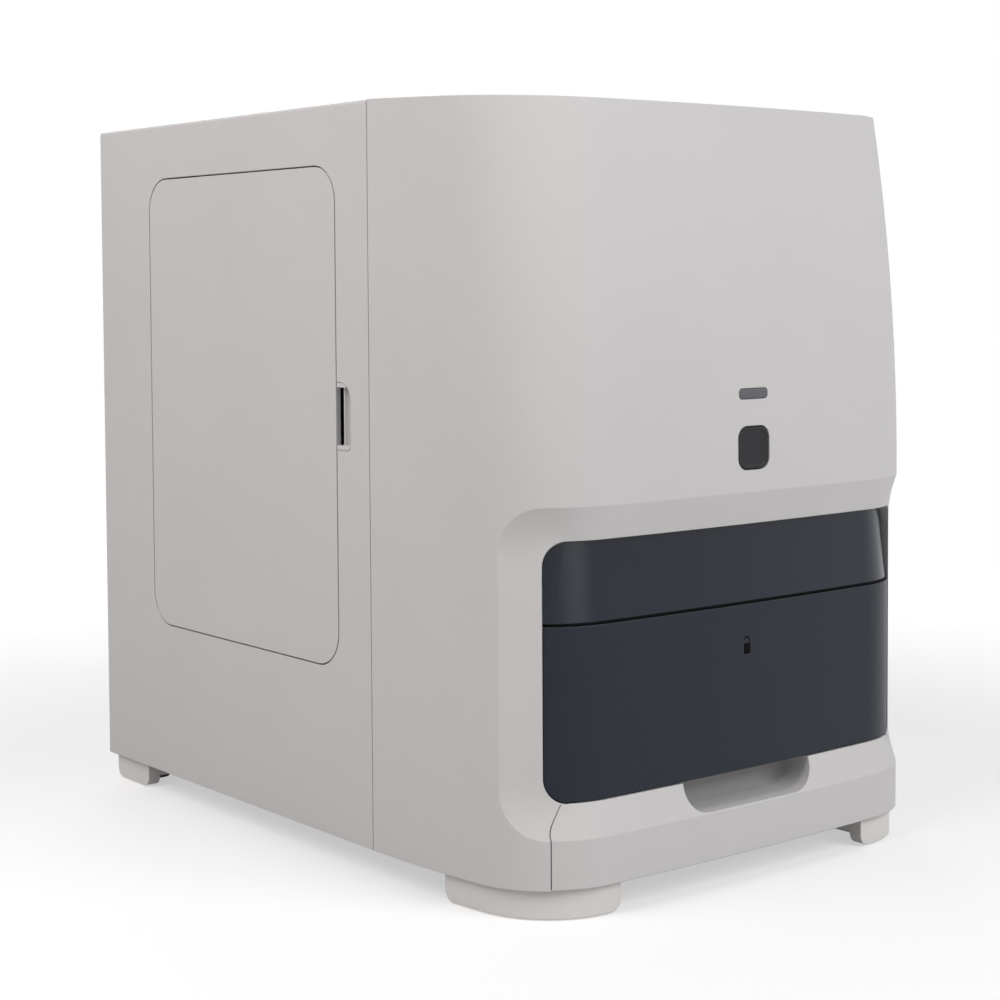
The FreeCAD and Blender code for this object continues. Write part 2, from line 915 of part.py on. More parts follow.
def sample_tray():
    """Moulded tray: front wall, deck with its wells, and side skirts that carry the runners."""
    front = front_y + fascia_back
    back = front_y + tray_rear
    top = floor_z + tray_deck
    skirt = floor_z + tray_skirt_low
    x = drawer_half_width
    wall = tray_wall
    corner = opening_corner - drawer_gap
    face = rounded(Y, corner, -tray_front_side, tray_front_side, front, front + wall,
                   floor_z + tray_front_low, floor_z + tray_front_high)
    deck = box(-x, x, front, back, top - wall, top)
    skirts = [box(-x, wall - x, front, back, skirt, top), box(x - wall, x, front, back, skirt, top)]
    solids = [deck] + skirts
    holes = []
    rounds = [(cup_radius, cup_y, cup_depth), (tip_radius, tip_y, tip_depth)]
    rounds += [(diluent_radius, diluent_y + step * diluent_pitch, diluent_depth) for step in (0, 1)]
    for radius, along_y, bottom in rounds:
        outer, inner = well(radius, pipette_x, front_y + along_y, bottom)
        solids.append(outer)
        holes.append(inner)
    sx = slide_well_width / 2
    sy0 = front_y + slide_well_y
    sy1 = sy0 + slide_well_length
    low = top - slide_well_depth
    solids.append(box(slide_well_x - sx - well_wall, slide_well_x + sx + well_wall, sy0 - well_wall,
                      sy1 + well_wall, low - well_wall, top))
    holes.append(box(slide_well_x - sx, slide_well_x + sx, sy0, sy1, low, top + overrun))
    return face.fuse(solids).cut(holes).removeSplitter()


def drawer_runner():
    """Right runner bar on the tray's skirt."""
    z = floor_z + runner_centre
    return box(drawer_half_width, drawer_half_width + runner_reach, front_y + fascia_back + tray_wall,
               front_y + tray_rear, z - runner_height / 2, z + runner_height / 2)


def drawer_rail():
    """Right channel rail on the side plate, round the runner."""
    z = floor_z + runner_centre
    reach = runner_height / 2 + slide_fit
    y0 = front_y + frame_front
    y1 = front_y + rail_rear
    inner = drawer_half_width + slide_fit + rail_wall
    channel = box(inner, frame_x, y0, y1, z - reach - rail_wall, z + reach + rail_wall)
    groove = box(inner - overrun, drawer_half_width + runner_reach + slide_fit, y0 - overrun, y1 + overrun,
                 z - reach, z + reach)
    return channel.cut(groove)


# Drawer drive

pitch_radius = gear_module * pinion_teeth / 2
tooth_pitch = math.pi * gear_module
gear_top = floor_z + tray_deck - tray_wall
gear_low = gear_top - gear_face


def pinion_flank():
    """One flank of a pinion tooth as radius and half angle, on an involute."""
    pressure = math.radians(pressure_angle)
    base_radius = pitch_radius * math.cos(pressure)
    involute_at_pitch = math.tan(pressure) - pressure
    half_at_pitch = (tooth_pitch - gear_backlash) / 4 / pitch_radius
    root = pitch_radius - 1.25 * gear_module
    tip = pitch_radius + 0.9 * gear_module
    flank = [(root, half_at_pitch + involute_at_pitch)]
    for step in range(flank_steps + 1):
        radius = base_radius + (tip - base_radius) * step / flank_steps
        turn = math.acos(base_radius / radius)
        flank.append((radius, half_at_pitch + involute_at_pitch - (math.tan(turn) - turn)))
    return flank


def drive_pinion():
    """Pinion with involute teeth and a boss, on the motor's shaft."""
    x = drive_x
    y = front_y + drive_y
    flank = pinion_flank()
    points = []
    for tooth in range(pinion_teeth):
        middle = 2 * math.pi * tooth / pinion_teeth
        for radius, spread in flank:
            points.append((radius, middle - spread))
        for radius, spread in flank[::-1]:
            points.append((radius, middle + spread))
    low = gear_low - gear_deck_gap
    corners = [Vector(x + r * math.cos(a), y + r * math.sin(a), low) for r, a in points]
    teeth = Part.Face(Part.makePolygon(corners + corners[:1])).extrude(Z * gear_face)
    boss = rod(pinion_boss_radius, Vector(x, y, low - pinion_boss_height), Z, pinion_boss_height)
    bore = rod(drive_shaft_radius + shaft_fit, Vector(x, y, low - pinion_boss_height - overrun), Z,
               gear_face + pinion_boss_height + 2 * overrun)
    return teeth.fuse(boss).cut(bore)


def drawer_rack():
    """Toothed rack under the tray deck; its teeth face the pinion."""
    line_x = drive_x + pitch_radius
    y0 = front_y + drive_y
    half_tooth = (tooth_pitch - gear_backlash) / 4
    slope = math.tan(math.radians(pressure_angle))
    tip = 0.9 * gear_module
    root = 1.25 * gear_module
    back_x = line_x + root + rack_back
    first = -round(drive_y - rack_front) // tooth_pitch
    places = [y0 + (first + step + 0.5) * tooth_pitch for step in range(rack_teeth)]
    low = gear_low - gear_deck_gap
    points = [Vector(back_x, places[0] - tooth_pitch / 2, low)]
    points.append(Vector(line_x + root, places[0] - tooth_pitch / 2, low))
    for place in places:
        points.append(Vector(line_x + root, place - half_tooth - root * slope, low))
        points.append(Vector(line_x - tip, place - half_tooth + tip * slope, low))
        points.append(Vector(line_x - tip, place + half_tooth - tip * slope, low))
        points.append(Vector(line_x + root, place + half_tooth + root * slope, low))
    points.append(Vector(line_x + root, places[-1] + tooth_pitch / 2, low))
    points.append(Vector(back_x, places[-1] + tooth_pitch / 2, low))
    return Part.Face(Part.makePolygon(points + points[:1])).extrude(Z * (gear_top - low))


def drive_motor():
    """Motor that stands on the shelf, with its shaft in the pinion."""
    x = drive_x
    y = front_y + drive_y
    low = floor_z + shelf_height + shelf_wall
    boss_low = gear_low - gear_deck_gap - pinion_boss_height
    can = rod(drive_motor_radius, Vector(x, y, low), Z, boss_low - slide_fit - low)
    shaft = rod(drive_shaft_radius, Vector(x, y, low), Z, gear_top - gear_deck_gap - low)
    return can.fuse(shaft)


# Main casing and rear panel

def u_band(side_out, side_in, top_out, top_in, y0, y1):
    """Upside-down U across the housing between two insets of its sides and roof."""
    outer = box(side_out - half, half - side_out, y0, y1, floor_z, roof_z - top_out)
    inner = box(side_in - half, half - side_in, y0 - overrun, y1 + overrun,
                floor_z - overrun, roof_z - top_in)
    return outer.cut(inner)


def door_prism(grow, x0, x1, corner):
    """Rounded prism of the service door, larger all round by grow."""
    return rounded(X, corner, x0, x1, seam_y + door_front - grow, seam_y + door_rear + grow,
                   floor_z + door_low - grow, floor_z + door_high + grow)


hinge_x = -half + hinge_depth
hinge_y = seam_y + door_rear - hinge_setback
hinge_heights = (floor_z + door_low + hinge_rise, floor_z + door_high - hinge_rise)


def finger_block(gap, x0, x1, y1):
    """Prism of the finger recess beside the door's front edge, with a wide top corner."""
    y0 = seam_y + finger_front + gap
    block = box(x0, x1, y0, y1, floor_z + finger_low + gap, floor_z + finger_high - gap)
    for radius, height in ((finger_low_corner, finger_low), (finger_top_corner, finger_high)):
        corner = [edge for edge in along(X, block) if abs(edge.CenterOfMass.y - y0) < 1e-6
                  and abs(edge.CenterOfMass.z - floor_z - height) < 2 * gap + 1e-6]
        block = block.makeFillet(radius, corner)
    return block


def main_casing():
    """Rear casing: sides and roof, the lip under the cover, the panel's ledge and the door's stop."""
    block = box(-half, half, seam_y, rear_y, floor_z, roof_z)
    roof_edges = [edge for edge in along(Y, block) if edge.CenterOfMass.z > floor_z]
    block = block.makeFillet(casing_edge, roof_edges)
    wall = casing_wall
    inner = box(wall - half, half - wall, seam_y - overrun, rear_y + overrun,
                floor_z - overrun, roof_z - wall)
    lip_side = cover_wall + seat_fit
    lip_top = roof_drop + cover_wall + seat_fit
    lip = u_band(lip_side, lip_side + lip_wall, lip_top, lip_top + lip_wall,
                 seam_y - lip_reach, seam_y)
    root = u_band(wall, lip_side + lip_wall, wall, lip_top + lip_wall, seam_y, seam_y + lip_reach)
    panel_y = rear_y - panel_recess - panel_wall
    ledge = u_band(wall, wall + ledge_wall, wall, wall + ledge_wall, panel_y - ledge_depth, panel_y)
    inside = -half + wall
    stop = door_prism(stop_seat, inside, inside + stop_wall + slide_fit, door_corner + stop_seat)
    stop = stop.cut(door_prism(-stop_lap, inside - overrun, inside + overrun, door_corner - stop_lap))
    stop = stop.cut(box(-half, 0, hinge_y - arm_swing - stop_seat, rear_y, floor_z, roof_z))
    casing = block.cut(inner).fuse([lip, root, ledge, stop])
    casing = casing.cut([
        door_prism(door_gap, -half - overrun, inside + slide_fit, door_corner + door_gap),
        finger_block(0, -half - overrun, inside + overrun, seam_y + door_front + stop_lap),
    ])
    return casing.removeSplitter()


def finger_cup():
    """Moulded finger recess: a hollow curved surface, a low rib and a slot beside the door's edge."""
    x0 = -half
    x1 = x0 + finger_depth + finger_wall
    y0 = seam_y + finger_front + seat_fit
    y1 = seam_y + door_front - door_gap
    body = finger_block(seat_fit, x0, x1, y1)
    z0 = floor_z + finger_low + seat_fit
    z1 = floor_z + finger_high - seat_fit
    lug = box(x0 + casing_wall, x1, y0 - stop_lap, y0 + stop_lap, z0, z1)
    rib_y = y1 - finger_slot - finger_rib
    span = (rib_y - y0) / 2
    hollow_radius = (span ** 2 + finger_depth ** 2) / (2 * finger_depth)
    hollow = rod(hollow_radius, Vector(x0 + finger_depth - hollow_radius, y0 + span, z0 + finger_wall), Z,
                 z1 - z0 - 2 * finger_wall)
    slot = box(x0 - overrun, x1 + overrun, y1 - finger_slot, y1 + overrun, z0 + finger_wall, z1 - finger_wall)
    drop = box(x0 - overrun, x0 + finger_rib_drop, rib_y, y1, z0 + finger_wall, z1 - finger_wall)
    return body.fuse(lug).cut([hollow, slot, drop]).removeSplitter()


def access_door():
    """Flush door with a stiffening rib and two hinge knuckles along its rear edge."""
    inside = -half + door_wall
    panel = door_prism(0, -half, inside, door_corner)
    rib = door_prism(-door_rib_inset, inside, inside + door_rib_height, door_rib_corner)
    rib = rib.cut(door_prism(-door_rib_inset - door_rib_wall, inside - overrun,
                             inside + door_rib_height + overrun, door_rib_corner - door_rib_wall))
    knuckle_radius = pin_radius + shaft_fit + knuckle_wall
    solids = [rib]
    holes = []
    for z in hinge_heights:
        low = Vector(hinge_x, hinge_y, z - knuckle_length / 2)
        solids.append(rod(knuckle_radius, low, Z, knuckle_length))
        reach = arm_thickness + 2 * slide_fit
        bore_low = low - Z * reach
        holes.append(rod(pin_radius + shaft_fit, bore_low, Z, knuckle_length + 2 * reach))
        eye = pin_radius + eye_wall + eye_clear
        holes.append(rod(eye, bore_low, Z, reach))
        holes.append(rod(eye, low + Z * knuckle_length, Z, reach))
    return panel.fuse(solids).cut(holes).removeSplitter()


def hinge_arm(z):
    """One bent arm that reaches round the door's edge to the pin."""
    x = hinge_x
    y = hinge_y
    far = y + hinge_setback + door_gap + slide_fit
    top = z + arm_thickness
    wall = arm_wall
    eye = pin_radius + eye_wall
    out = x + arm_swing
    low = y - arm_low
    inside = -half + casing_wall
    pieces = [
        box(inside, out + wall, far, far + wall, z, top),
        box(out, out + wall, low - wall, far + wall, z, top),
        box(x + slide_fit, out + wall, low - wall, low, z, top),
        box(x + slide_fit, x + eye, low - wall, y, z, top),
        rod(eye, Vector(x, y, z), Z, arm_thickness),
    ]
    return fused(pieces)


def door_hinges():
    """Two hinge brackets on the casing's inner side, each with two bent arms."""
    brackets = []
    for z in hinge_heights:
        low = z - knuckle_length / 2 - slide_fit - arm_thickness
        high = z + knuckle_length / 2 + slide_fit
        inside = -half + casing_wall
        far = hinge_y + hinge_setback + door_gap + slide_fit
        base = box(inside, inside + hinge_base_wall, far, far + hinge_base_length, low, high + arm_thickness)
        bracket = fused([base, hinge_arm(low), hinge_arm(high)])
        reach = knuckle_length + 4 * arm_thickness
        bracket = bracket.cut(rod(pin_radius, Vector(hinge_x, hinge_y, z - reach / 2), Z, reach))
        brackets.append(bracket)
    return Part.makeCompound(brackets)


def door_hinge_pins():
    """Steel pins of the two hinges, held in the bracket's eyes."""
    length = knuckle_length + 2 * slide_fit + 2 * arm_thickness
    pins = [rod(pin_radius, Vector(hinge_x, hinge_y, z - length / 2), Z, length) for z in hinge_heights]
    return Part.makeCompound(pins)


def catch_box(x0, x1):
    """Block at the place of the door's magnetic catch."""
    y0 = seam_y + door_front + stop_lap
    z1 = floor_z + finger_low - catch_drop
    return box(x0, x1, y0, y0 + catch_width, z1 - catch_length, z1)


def door_magnet():
    """Magnet of the catch, on the door stop."""
    face = -half + door_wall + strike_thickness + slide_fit
    return catch_box(face, face + catch_depth)


def door_strike():
    """Steel plate of the catch, on the door."""
    inside = -half + door_wall
    return catch_box(inside, inside + strike_thickness)


def screw_places():
    """Fixing points of the rear panel."""
    x = half - screw_inset_x
    low = floor_z + screw_inset_z
    high = roof_z - screw_inset_z
    return [(sx * x, z) for sx in (-1, 1) for z in (low, (low + high) / 2, high)]


def rear_panel():
    """Rear plate with vent slots and cut-outs for the fan, inlet, switch and port."""
    y0 = rear_y - panel_recess - panel_wall
    y1 = rear_y - panel_recess
    x = half - casing_wall - seat_fit
    panel = box(-x, x, y0, y1, base_top, roof_z - casing_wall - seat_fit)
    a = y0 - overrun
    b = y1 + overrun
    cuts = []
    for step in range(vent_count):
        z = floor_z + vent_low + step * vent_pitch
        cuts.append(box(vent_centre_x - vent_width / 2, vent_centre_x + vent_width / 2, a, b,
                        z, z + vent_slot))
    cuts.append(rod(fan_bore, Vector(fan_x, a, floor_z + fan_z), Y, b - a))
    z = floor_z + inlet_z
    cuts.append(box(inlet_x - inlet_width / 2, inlet_x + inlet_width / 2, a, b,
                    z - inlet_height / 2, z + inlet_height / 2))
    sx = rocker_width / 2 + rocker_gap + switch_wall
    sz = rocker_height / 2 + rocker_gap + switch_wall
    cuts.append(box(switch_x - sx, switch_x + sx, a, b, z - sz, z + sz))
    cuts.append(box(port_x - port_width / 2, port_x + port_width / 2, a, b,
                    z - port_height / 2, z + port_height / 2))
    for sx, sz in screw_places():
        cuts.append(rod(screw_radius, Vector(sx, a, sz), Y, b - a))
    return panel.cut(cuts)


def panel_screws():
    """Pan-head screws of the rear panel."""
    y = rear_y - panel_recess
    screws = []
    for x, z in screw_places():
        head = rod(screw_head_radius, Vector(x, y, z), Y, screw_head_height)
        rim = [edge for edge in head.Edges if edge.CenterOfMass.y > y + screw_head_height / 2]
        head = head.makeChamfer(screw_head_bevel, rim[:1])
        shank = rod(screw_radius, Vector(x, y - panel_wall, z), Y, panel_wall)
        screws.append(head.fuse(shank))
    return Part.makeCompound(screws)


# Base and feet

def base_tray():
    """Folded base plate with a rim, open in front where the drawers come out."""
    rear = rear_y - panel_recess
    x = half - base_inset
    plate = plan_slab(base_inset, floor_z, base_top)
    plate = plate.fuse(box(-x, x, seam_y - overrun, rear, floor_z, base_top))
    side = half - strip_side + drawer_gap
    plate = plate.cut(box(-side, side, front_y, front_y + bin_front, floor_z - overrun, base_top + overrun))
    rims = []
    for sense in (-1, 1):
        edge = sorted((sense * x, sense * (x - base_wall)))
        rims.append(box(edge[0], edge[1], seam_y, rear - panel_wall, floor_z, floor_z + base_rim))
    return plate.fuse(rims).removeSplitter()


def pad(place, grow):
    """One rubber pad in the stepped underside of a foot, or the wider hole that takes it."""
    return rod(pad_radius + grow, Vector(place[0], place[1], 0), Z, pad_proud + foot_step + pad_thickness)


front_pad = (half - foot_inset - foot_skirt - slide_fit - pad_radius, seam_y - foot_start_y - foot_band / 2)
rear_pad = (half - foot_inset - rear_foot_width / 2, rear_y - rear_foot_gap - rear_pad_inset)


def front_foot():
    """Right front foot: a band that follows the cover's corner, lower along its outer skirt."""
    band = plan_slab(foot_inset, pad_proud, floor_z).cut(
        plan_slab(foot_inset + foot_band, pad_proud - overrun, floor_z + overrun))
    x0 = half - foot_reach_x
    y1 = seam_y - foot_start_y
    band = band.common(box(x0, half, front_y, y1, 0, floor_z))
    ends = []
    for edge in band.Edges:
        place = edge.CenterOfMass
        at_end = abs(place.x - x0) < 1e-6 or abs(place.y - y1) < 1e-6
        if at_end and abs(place.z - pad_proud) < 1e-6:
            ends.append(edge)
    band = band.makeFillet(foot_corner, ends)
    step = plan_slab(foot_inset + foot_skirt, pad_proud - overrun, pad_proud + foot_step)
    return band.cut([step, pad(front_pad, seat_fit)])


def rear_foot():
    """Right rear foot with its outer skirt and inner step."""
    x1 = half - foot_inset
    x0 = x1 - rear_foot_width
    y1 = rear_y - rear_foot_gap
    y0 = y1 - rear_foot_length
    block = box(x0, x1, y0, y1, pad_proud, floor_z)
    low = [edge for edge in along(X, block) if edge.CenterOfMass.z < floor_z / 2]
    block = block.makeFillet(foot_corner, low)
    step = box(x0 - overrun, x1 - foot_skirt, y0 - overrun, y1 + overrun, 0, pad_proud + foot_step)
    return block.cut([step, pad(rear_pad, seat_fit)])


def foot_pads():
    """Four rubber pads."""
    right = [pad(front_pad, 0), pad(rear_pad, 0)]
    return Part.makeCompound(right + [mirrored(rubber) for rubber in right])


# Inner frame

def side_frame():
    """Right side plate between base and deck, with lightening windows and a foot flange."""
    y0 = front_y + frame_front
    y1 = front_y + frame_rear
    plate = box(frame_x, frame_x + frame_wall, y0, y1, base_top, deck_z)
    span = (y1 - y0) / frame_window_count
    cuts = []
    for step in range(frame_window_count):
        middle = y0 + (step + 0.5) * span
        z = floor_z + frame_window_low
        cuts.append(rounded(X, frame_window_corner, frame_x - overrun, frame_x + frame_wall + overrun,
                            middle - frame_window_length / 2, middle + frame_window_length / 2,
                            z, z + frame_window_height))
    flange = box(frame_x, frame_x + frame_flange, y0, y1, base_top, base_top + frame_wall)
    return plate.cut(cuts).fuse(flange).removeSplitter()


def drive_shelf():
    """Thin shelf between the two drawers, with folded edges on the side plates."""
    y0 = front_y + frame_front
    y1 = front_y + shelf_rear
    z = floor_z + shelf_height
    return box(-frame_x, frame_x, y0, y1, z, z + shelf_wall)


def upper_deck():
    """Deck that carries the incubator and the pipettor, with a slot over the drawer's wells."""
    y0 = front_y + frame_front
    y1 = front_y + frame_rear
    x = frame_x + frame_wall
    plate = box(-x, x, y0, y1, deck_z, deck_top)
    s0 = front_y + cup_y - cup_radius
    s1 = front_y + tip_y + cup_radius
    slot = rounded(Z, frame_window_corner, pipette_x - deck_slot_width / 2, pipette_x + deck_slot_width / 2,
                   s0, s1, deck_z - overrun, deck_top + overrun)
    place = Vector(incubator_x, front_y + incubator_y, deck_z - overrun)
    bore = rod(incubator_shaft_radius + seat_fit, place, Z, deck_wall + 2 * overrun)
    return plate.cut([slot, bore])


# Incubator and reader

incubator_centre = Vector(incubator_x, front_y + incubator_y, 0)
rotor_z = deck_top + incubator_base_height - incubator_rotor_thickness


def incubator_base():
    """Heated dish under the rotor, open on top."""
    dish = rod(incubator_radius, incubator_centre + Z * deck_top, Z, incubator_base_height)
    inner = rod(incubator_radius - incubator_rim, incubator_centre + Z * (rotor_z - incubator_gap), Z,
                incubator_base_height)
    bore = rod(incubator_shaft_radius + seat_fit, incubator_centre + Z * (deck_top - overrun), Z,
               incubator_base_height + overrun)
    return dish.cut([inner, bore])


def incubator_rotor():
    """Carousel with one open pocket per test slide, and a hub on the motor's shaft."""
    disc = rod(incubator_rotor_radius, incubator_centre + Z * rotor_z, Z, incubator_rotor_thickness)
    hub = rod(incubator_hub_radius, incubator_centre + Z * rotor_z, Z, incubator_hub_height)
    pocket_z = rotor_z + incubator_rotor_thickness - incubator_slot_depth
    outer = incubator_rotor_radius + overrun
    inner = incubator_rotor_radius - incubator_slot_length
    cuts = [rod(incubator_shaft_radius + shaft_fit, incubator_centre + Z * (rotor_z - overrun), Z,
                incubator_hub_height + 2 * overrun)]
    for step in range(incubator_slot_count):
        pocket = box(inner, outer, -incubator_slot_width / 2, incubator_slot_width / 2, pocket_z,
                     pocket_z + incubator_slot_depth + overrun)
        pocket.rotate(Vector(0, 0, 0), Z, 360 * step / incubator_slot_count)
        pocket.translate(incubator_centre)
        cuts.append(pocket)
    return disc.fuse(hub).cut(cuts)


def incubator_motor():
    """Motor under the deck, with the shaft that carries the rotor."""
    low = deck_z - incubator_motor_height
    can = rod(incubator_motor_radius, incubator_centre + Z * low, Z, incubator_motor_height)
    top = rotor_z + incubator_hub_height - incubator_gap
    shaft = rod(incubator_shaft_radius, incubator_centre + Z * low, Z, top - low)
    return can.fuse(shaft)


def slide_reader():
    """Optical reader behind the incubator, with an arm and a lens over the rotor's edge."""
    x0 = incubator_x - reader_width / 2
    x1 = incubator_x + reader_width / 2
    y0 = front_y + incubator_y + incubator_radius + seat_fit
    top = deck_top + reader_height
    body = box(x0, x1, y0, y0 + reader_depth, deck_top, top)
    arm = box(x0, x1, y0 - reader_arm, y0, top - reader_arm_height, top)
    place = Vector(incubator_x, y0 - reader_arm + reader_lens_radius * 2, top - reader_arm_height)
    lens = rod(reader_lens_radius, place - Z * reader_lens_length, Z, reader_lens_length)
    return fused([body, arm, lens])


# Pipettor

def pipettor_gantry():
    """Upright plate on the deck with two end flanges that hold the guide rods."""
    y0 = front_y + gantry_front
    y1 = front_y + gantry_rear
    deck_y = front_y + frame_front
    top = deck_top + gantry_height
    wall = gantry_wall
    plate = box(gantry_x, gantry_x + wall, y0, y1, deck_top, top)
    window = rounded(X, frame_window_corner, gantry_x - overrun, gantry_x + wall + overrun,
                     y0 + gantry_foot, y1 - gantry_foot, deck_top + gantry_rib_height,
                     deck_top + rod_low - gantry_foot)
    flange_low = deck_top + rod_low - gantry_foot
    flanges = [box(gantry_x - gantry_flange, gantry_x, y, y + wall, flange_low, top) for y in (y0, y1 - wall)]
    foot = box(gantry_x, gantry_x + gantry_foot, deck_y, y1, deck_top, deck_top + wall)
    return plate.cut(window).fuse(flanges + [foot]).removeSplitter()


def rod_lines():
    """Start points of the two guide rods, between the gantry's end flanges."""
    y0 = front_y + gantry_front + gantry_wall
    return [Vector(rod_x, y0, deck_top + height) for height in (rod_low, rod_high)]


def guide_rods():
    """Two steel rods along which the carriage runs."""
    length = gantry_rear - gantry_front - 2 * gantry_wall
    return Part.makeCompound([rod(rod_radius, start, Y, length) for start in rod_lines()])


carriage_y = front_y + tip_y - carriage_length / 2
carriage_x = rod_x - carriage_thickness / 2
head_x = pipette_x + head_depth / 2


def pipette_carriage():
    """Block on the guide rods, with an upright rail for the head on its left face."""
    low = deck_top + rod_low - carriage_margin
    high = deck_top + rod_high + carriage_margin
    block = rounded(Y, rod_radius, carriage_x, carriage_x + carriage_thickness, carriage_y,
                    carriage_y + carriage_length, low, high)
    middle = carriage_y + carriage_length / 2
    rail_x = head_x + slide_fit
    rail = box(rail_x, carriage_x, middle - head_rail_width / 2, middle + head_rail_width / 2, low, high)
    tongue = box(rail_x - head_rail_depth, rail_x, middle - head_rail_width / 2 + slide_fit,
                 middle + head_rail_width / 2 - slide_fit, low, high)
    bores = [rod(rod_radius + shaft_fit, start - Y * overrun, Y, depth) for start in rod_lines()]
    return block.fuse([rail, tongue]).cut(bores).removeSplitter()


def pipette_head():
    """Tall head that slides down the carriage's rail."""
    middle = carriage_y + carriage_length / 2
    x0 = pipette_x - head_depth / 2
    low = deck_top + head_low
    high = deck_top + head_high
    body = rounded(Z, head_rail_depth, x0, head_x, middle - head_width / 2, middle + head_width / 2,
                   low, high)
    groove = box(head_x - head_rail_depth, head_x + overrun, middle - head_rail_width / 2,
                 middle + head_rail_width / 2, low - overrun, high + overrun)
    return body.cut(groove)


def pipette_nozzle():
    """Tapered nozzle that picks up the pipette tip."""
    middle = carriage_y + carriage_length / 2
    low = deck_top + head_low - nozzle_length
    return Part.makeCone(nozzle_tip_radius, nozzle_radius, nozzle_length,
                         Vector(pipette_x, middle, low))


def gantry_motor():
    """Square stepping motor that drives the carriage, on the gantry's outer face."""
    y1 = front_y + gantry_rear - gantry_foot
    x0 = gantry_x + gantry_wall
    top = deck_top + gantry_height
    size = gantry_motor_size
    return rounded(X, rod_radius, x0, x0 + gantry_motor_length, y1 - size, y1, top - size, top)


# Electronics and the rear connections

panel_inner = rear_y - panel_recess - panel_wall
panel_outer = rear_y - panel_recess


def power_supply():
    """Closed power unit on the base tray, with cooling grooves in its top."""
    x0 = supply_x - supply_width / 2
    x1 = supply_x + supply_width / 2
    y1 = panel_inner - inlet_depth - overrun
    y0 = y1 - supply_depth
    block = box(x0, x1, y0, y1, base_top, base_top + supply_height)
    cuts = []
    for step in range(supply_slot_count):
        x = supply_x + (step - (supply_slot_count - 1) / 2) * supply_slot_pitch
        cuts.append(box(x - supply_slot / 2, x + supply_slot / 2, y0 + supply_slot * 2, y1 - supply_slot * 2,
                        base_top + supply_height - supply_slot, base_top + supply_height + overrun))
    return block.cut(cuts)


def board_fixings():
    """Places of the main board's standoffs."""
    x = main_board_width / 2 - standoff_inset
    low = floor_z + main_board_low + standoff_inset
    high = floor_z + main_board_low + main_board_height - standoff_inset
    return [(main_board_x + sx * x, z) for sx in (-1, 1) for z in (low, high)]


def board_standoffs():
    """Four posts that hold the main board off the rear panel."""
    y0 = panel_inner - main_board_gap
    return Part.makeCompound([rod(standoff_radius, Vector(x, y0, z), Y, main_board_gap)
                              for x, z in board_fixings()])


def main_board():
    """Control board with its two large chips."""
    y1 = panel_inner - main_board_gap
    y0 = y1 - board_thickness
    z0 = floor_z + main_board_low
    x0 = main_board_x - main_board_width / 2
    board = box(x0, x0 + main_board_width, y0, y1, z0, z0 + main_board_height)
    chips = []
    for share in (0.3, 0.7):
        x = x0 + share * main_board_width - chip_size / 2
        z = z0 + share * main_board_height - chip_size / 2
        chips.append(box(x, x + chip_size, y0 - chip_height, y0, z, z + chip_size))
    return board.fuse(chips)


def power_inlet():
    """Three-blade mains inlet in the rear panel."""
    z = floor_z + inlet_z
    w = inlet_width / 2
    h = inlet_height / 2
    body = box(inlet_x - w, inlet_x + w, panel_outer - inlet_depth, panel_outer, z - h, z + h)
    rim = rounded(Y, inlet_corner, inlet_x - w - inlet_rim, inlet_x + w + inlet_rim, panel_outer,
                  panel_outer + inlet_rim_depth, z - h - inlet_rim, z + h + inlet_rim)
    front = panel_outer + inlet_rim_depth
    cavity = rounded(Y, inlet_corner, inlet_x - w + inlet_wall, inlet_x + w - inlet_wall,
                     front - inlet_cavity, front + overrun, z - h + inlet_wall, z + h - inlet_wall)
    blades = []
    for sx, sz in ((-1, -0.5), (0, 0.5), (1, -0.5)):
        x = inlet_x + sx * blade_pitch
        zb = z + sz * blade_height
        blades.append(box(x - blade_width / 2, x + blade_width / 2, front - inlet_cavity,
                          front - inlet_cavity + blade_length, zb - blade_height / 2, zb + blade_height / 2))
    return body.fuse(rim).cut(cavity).fuse(blades).removeSplitter()


def rocker_space(grow):
    """Block of the rocker's well."""
    z = floor_z + inlet_z
    w = rocker_width / 2 + grow
    h = rocker_height / 2 + grow
    return (switch_x - w, switch_x + w, z - h, z + h)


def switch_housing():
    """Frame of the power switch, with a round socket for the rocker's pivot on each side."""
    x0, x1, z0, z1 = rocker_space(rocker_gap + switch_wall)
    c0, c1, d0, d1 = rocker_space(rocker_gap)
    y0 = panel_outer - switch_body_depth
    body = box(x0, x1, y0, panel_outer, z0, z1)
    cavity = box(c0, c1, y0 + switch_wall, panel_outer + overrun, d0, d1)
    pivot = Vector(x0 + switch_wall / 2, panel_outer - rocker_depth, floor_z + inlet_z)
    socket = rod(rocker_pivot_radius + shaft_fit, pivot, X, x1 - x0 - switch_wall)
    return body.cut([cavity, socket])


def power_rocker():
    """Rocker whose face is two shallow slopes, on a pivot pin moulded with it."""
    x0, x1, z0, z1 = rocker_space(0)
    middle = floor_z + inlet_z
    rise = (z1 - z0) / 2 * math.tan(math.radians(rocker_tilt))
    face = panel_outer - rise - slide_fit
    back = panel_outer - rocker_depth - rocker_pivot_radius * 2
    clip = (z1 - z0) / 4
    points = [
        Vector(x0, back, middle - clip),
        Vector(x0, back, middle + clip),
        Vector(x0, face - rise, z1 - rise),
        Vector(x0, face, z1 - rise),
        Vector(x0, face - rise, middle),
        Vector(x0, face, z0 + rise),
        Vector(x0, face - rise, z0 + rise),
    ]
    body = Part.Face(Part.makePolygon(points + points[:1])).extrude(X * (x1 - x0))
    h0, h1 = rocker_space(rocker_gap + switch_wall / 2 - slide_fit)[:2]
    pivot = rod(rocker_pivot_radius, Vector(h0, panel_outer - rocker_depth, middle), X, h1 - h0)
    return body.fuse(pivot)


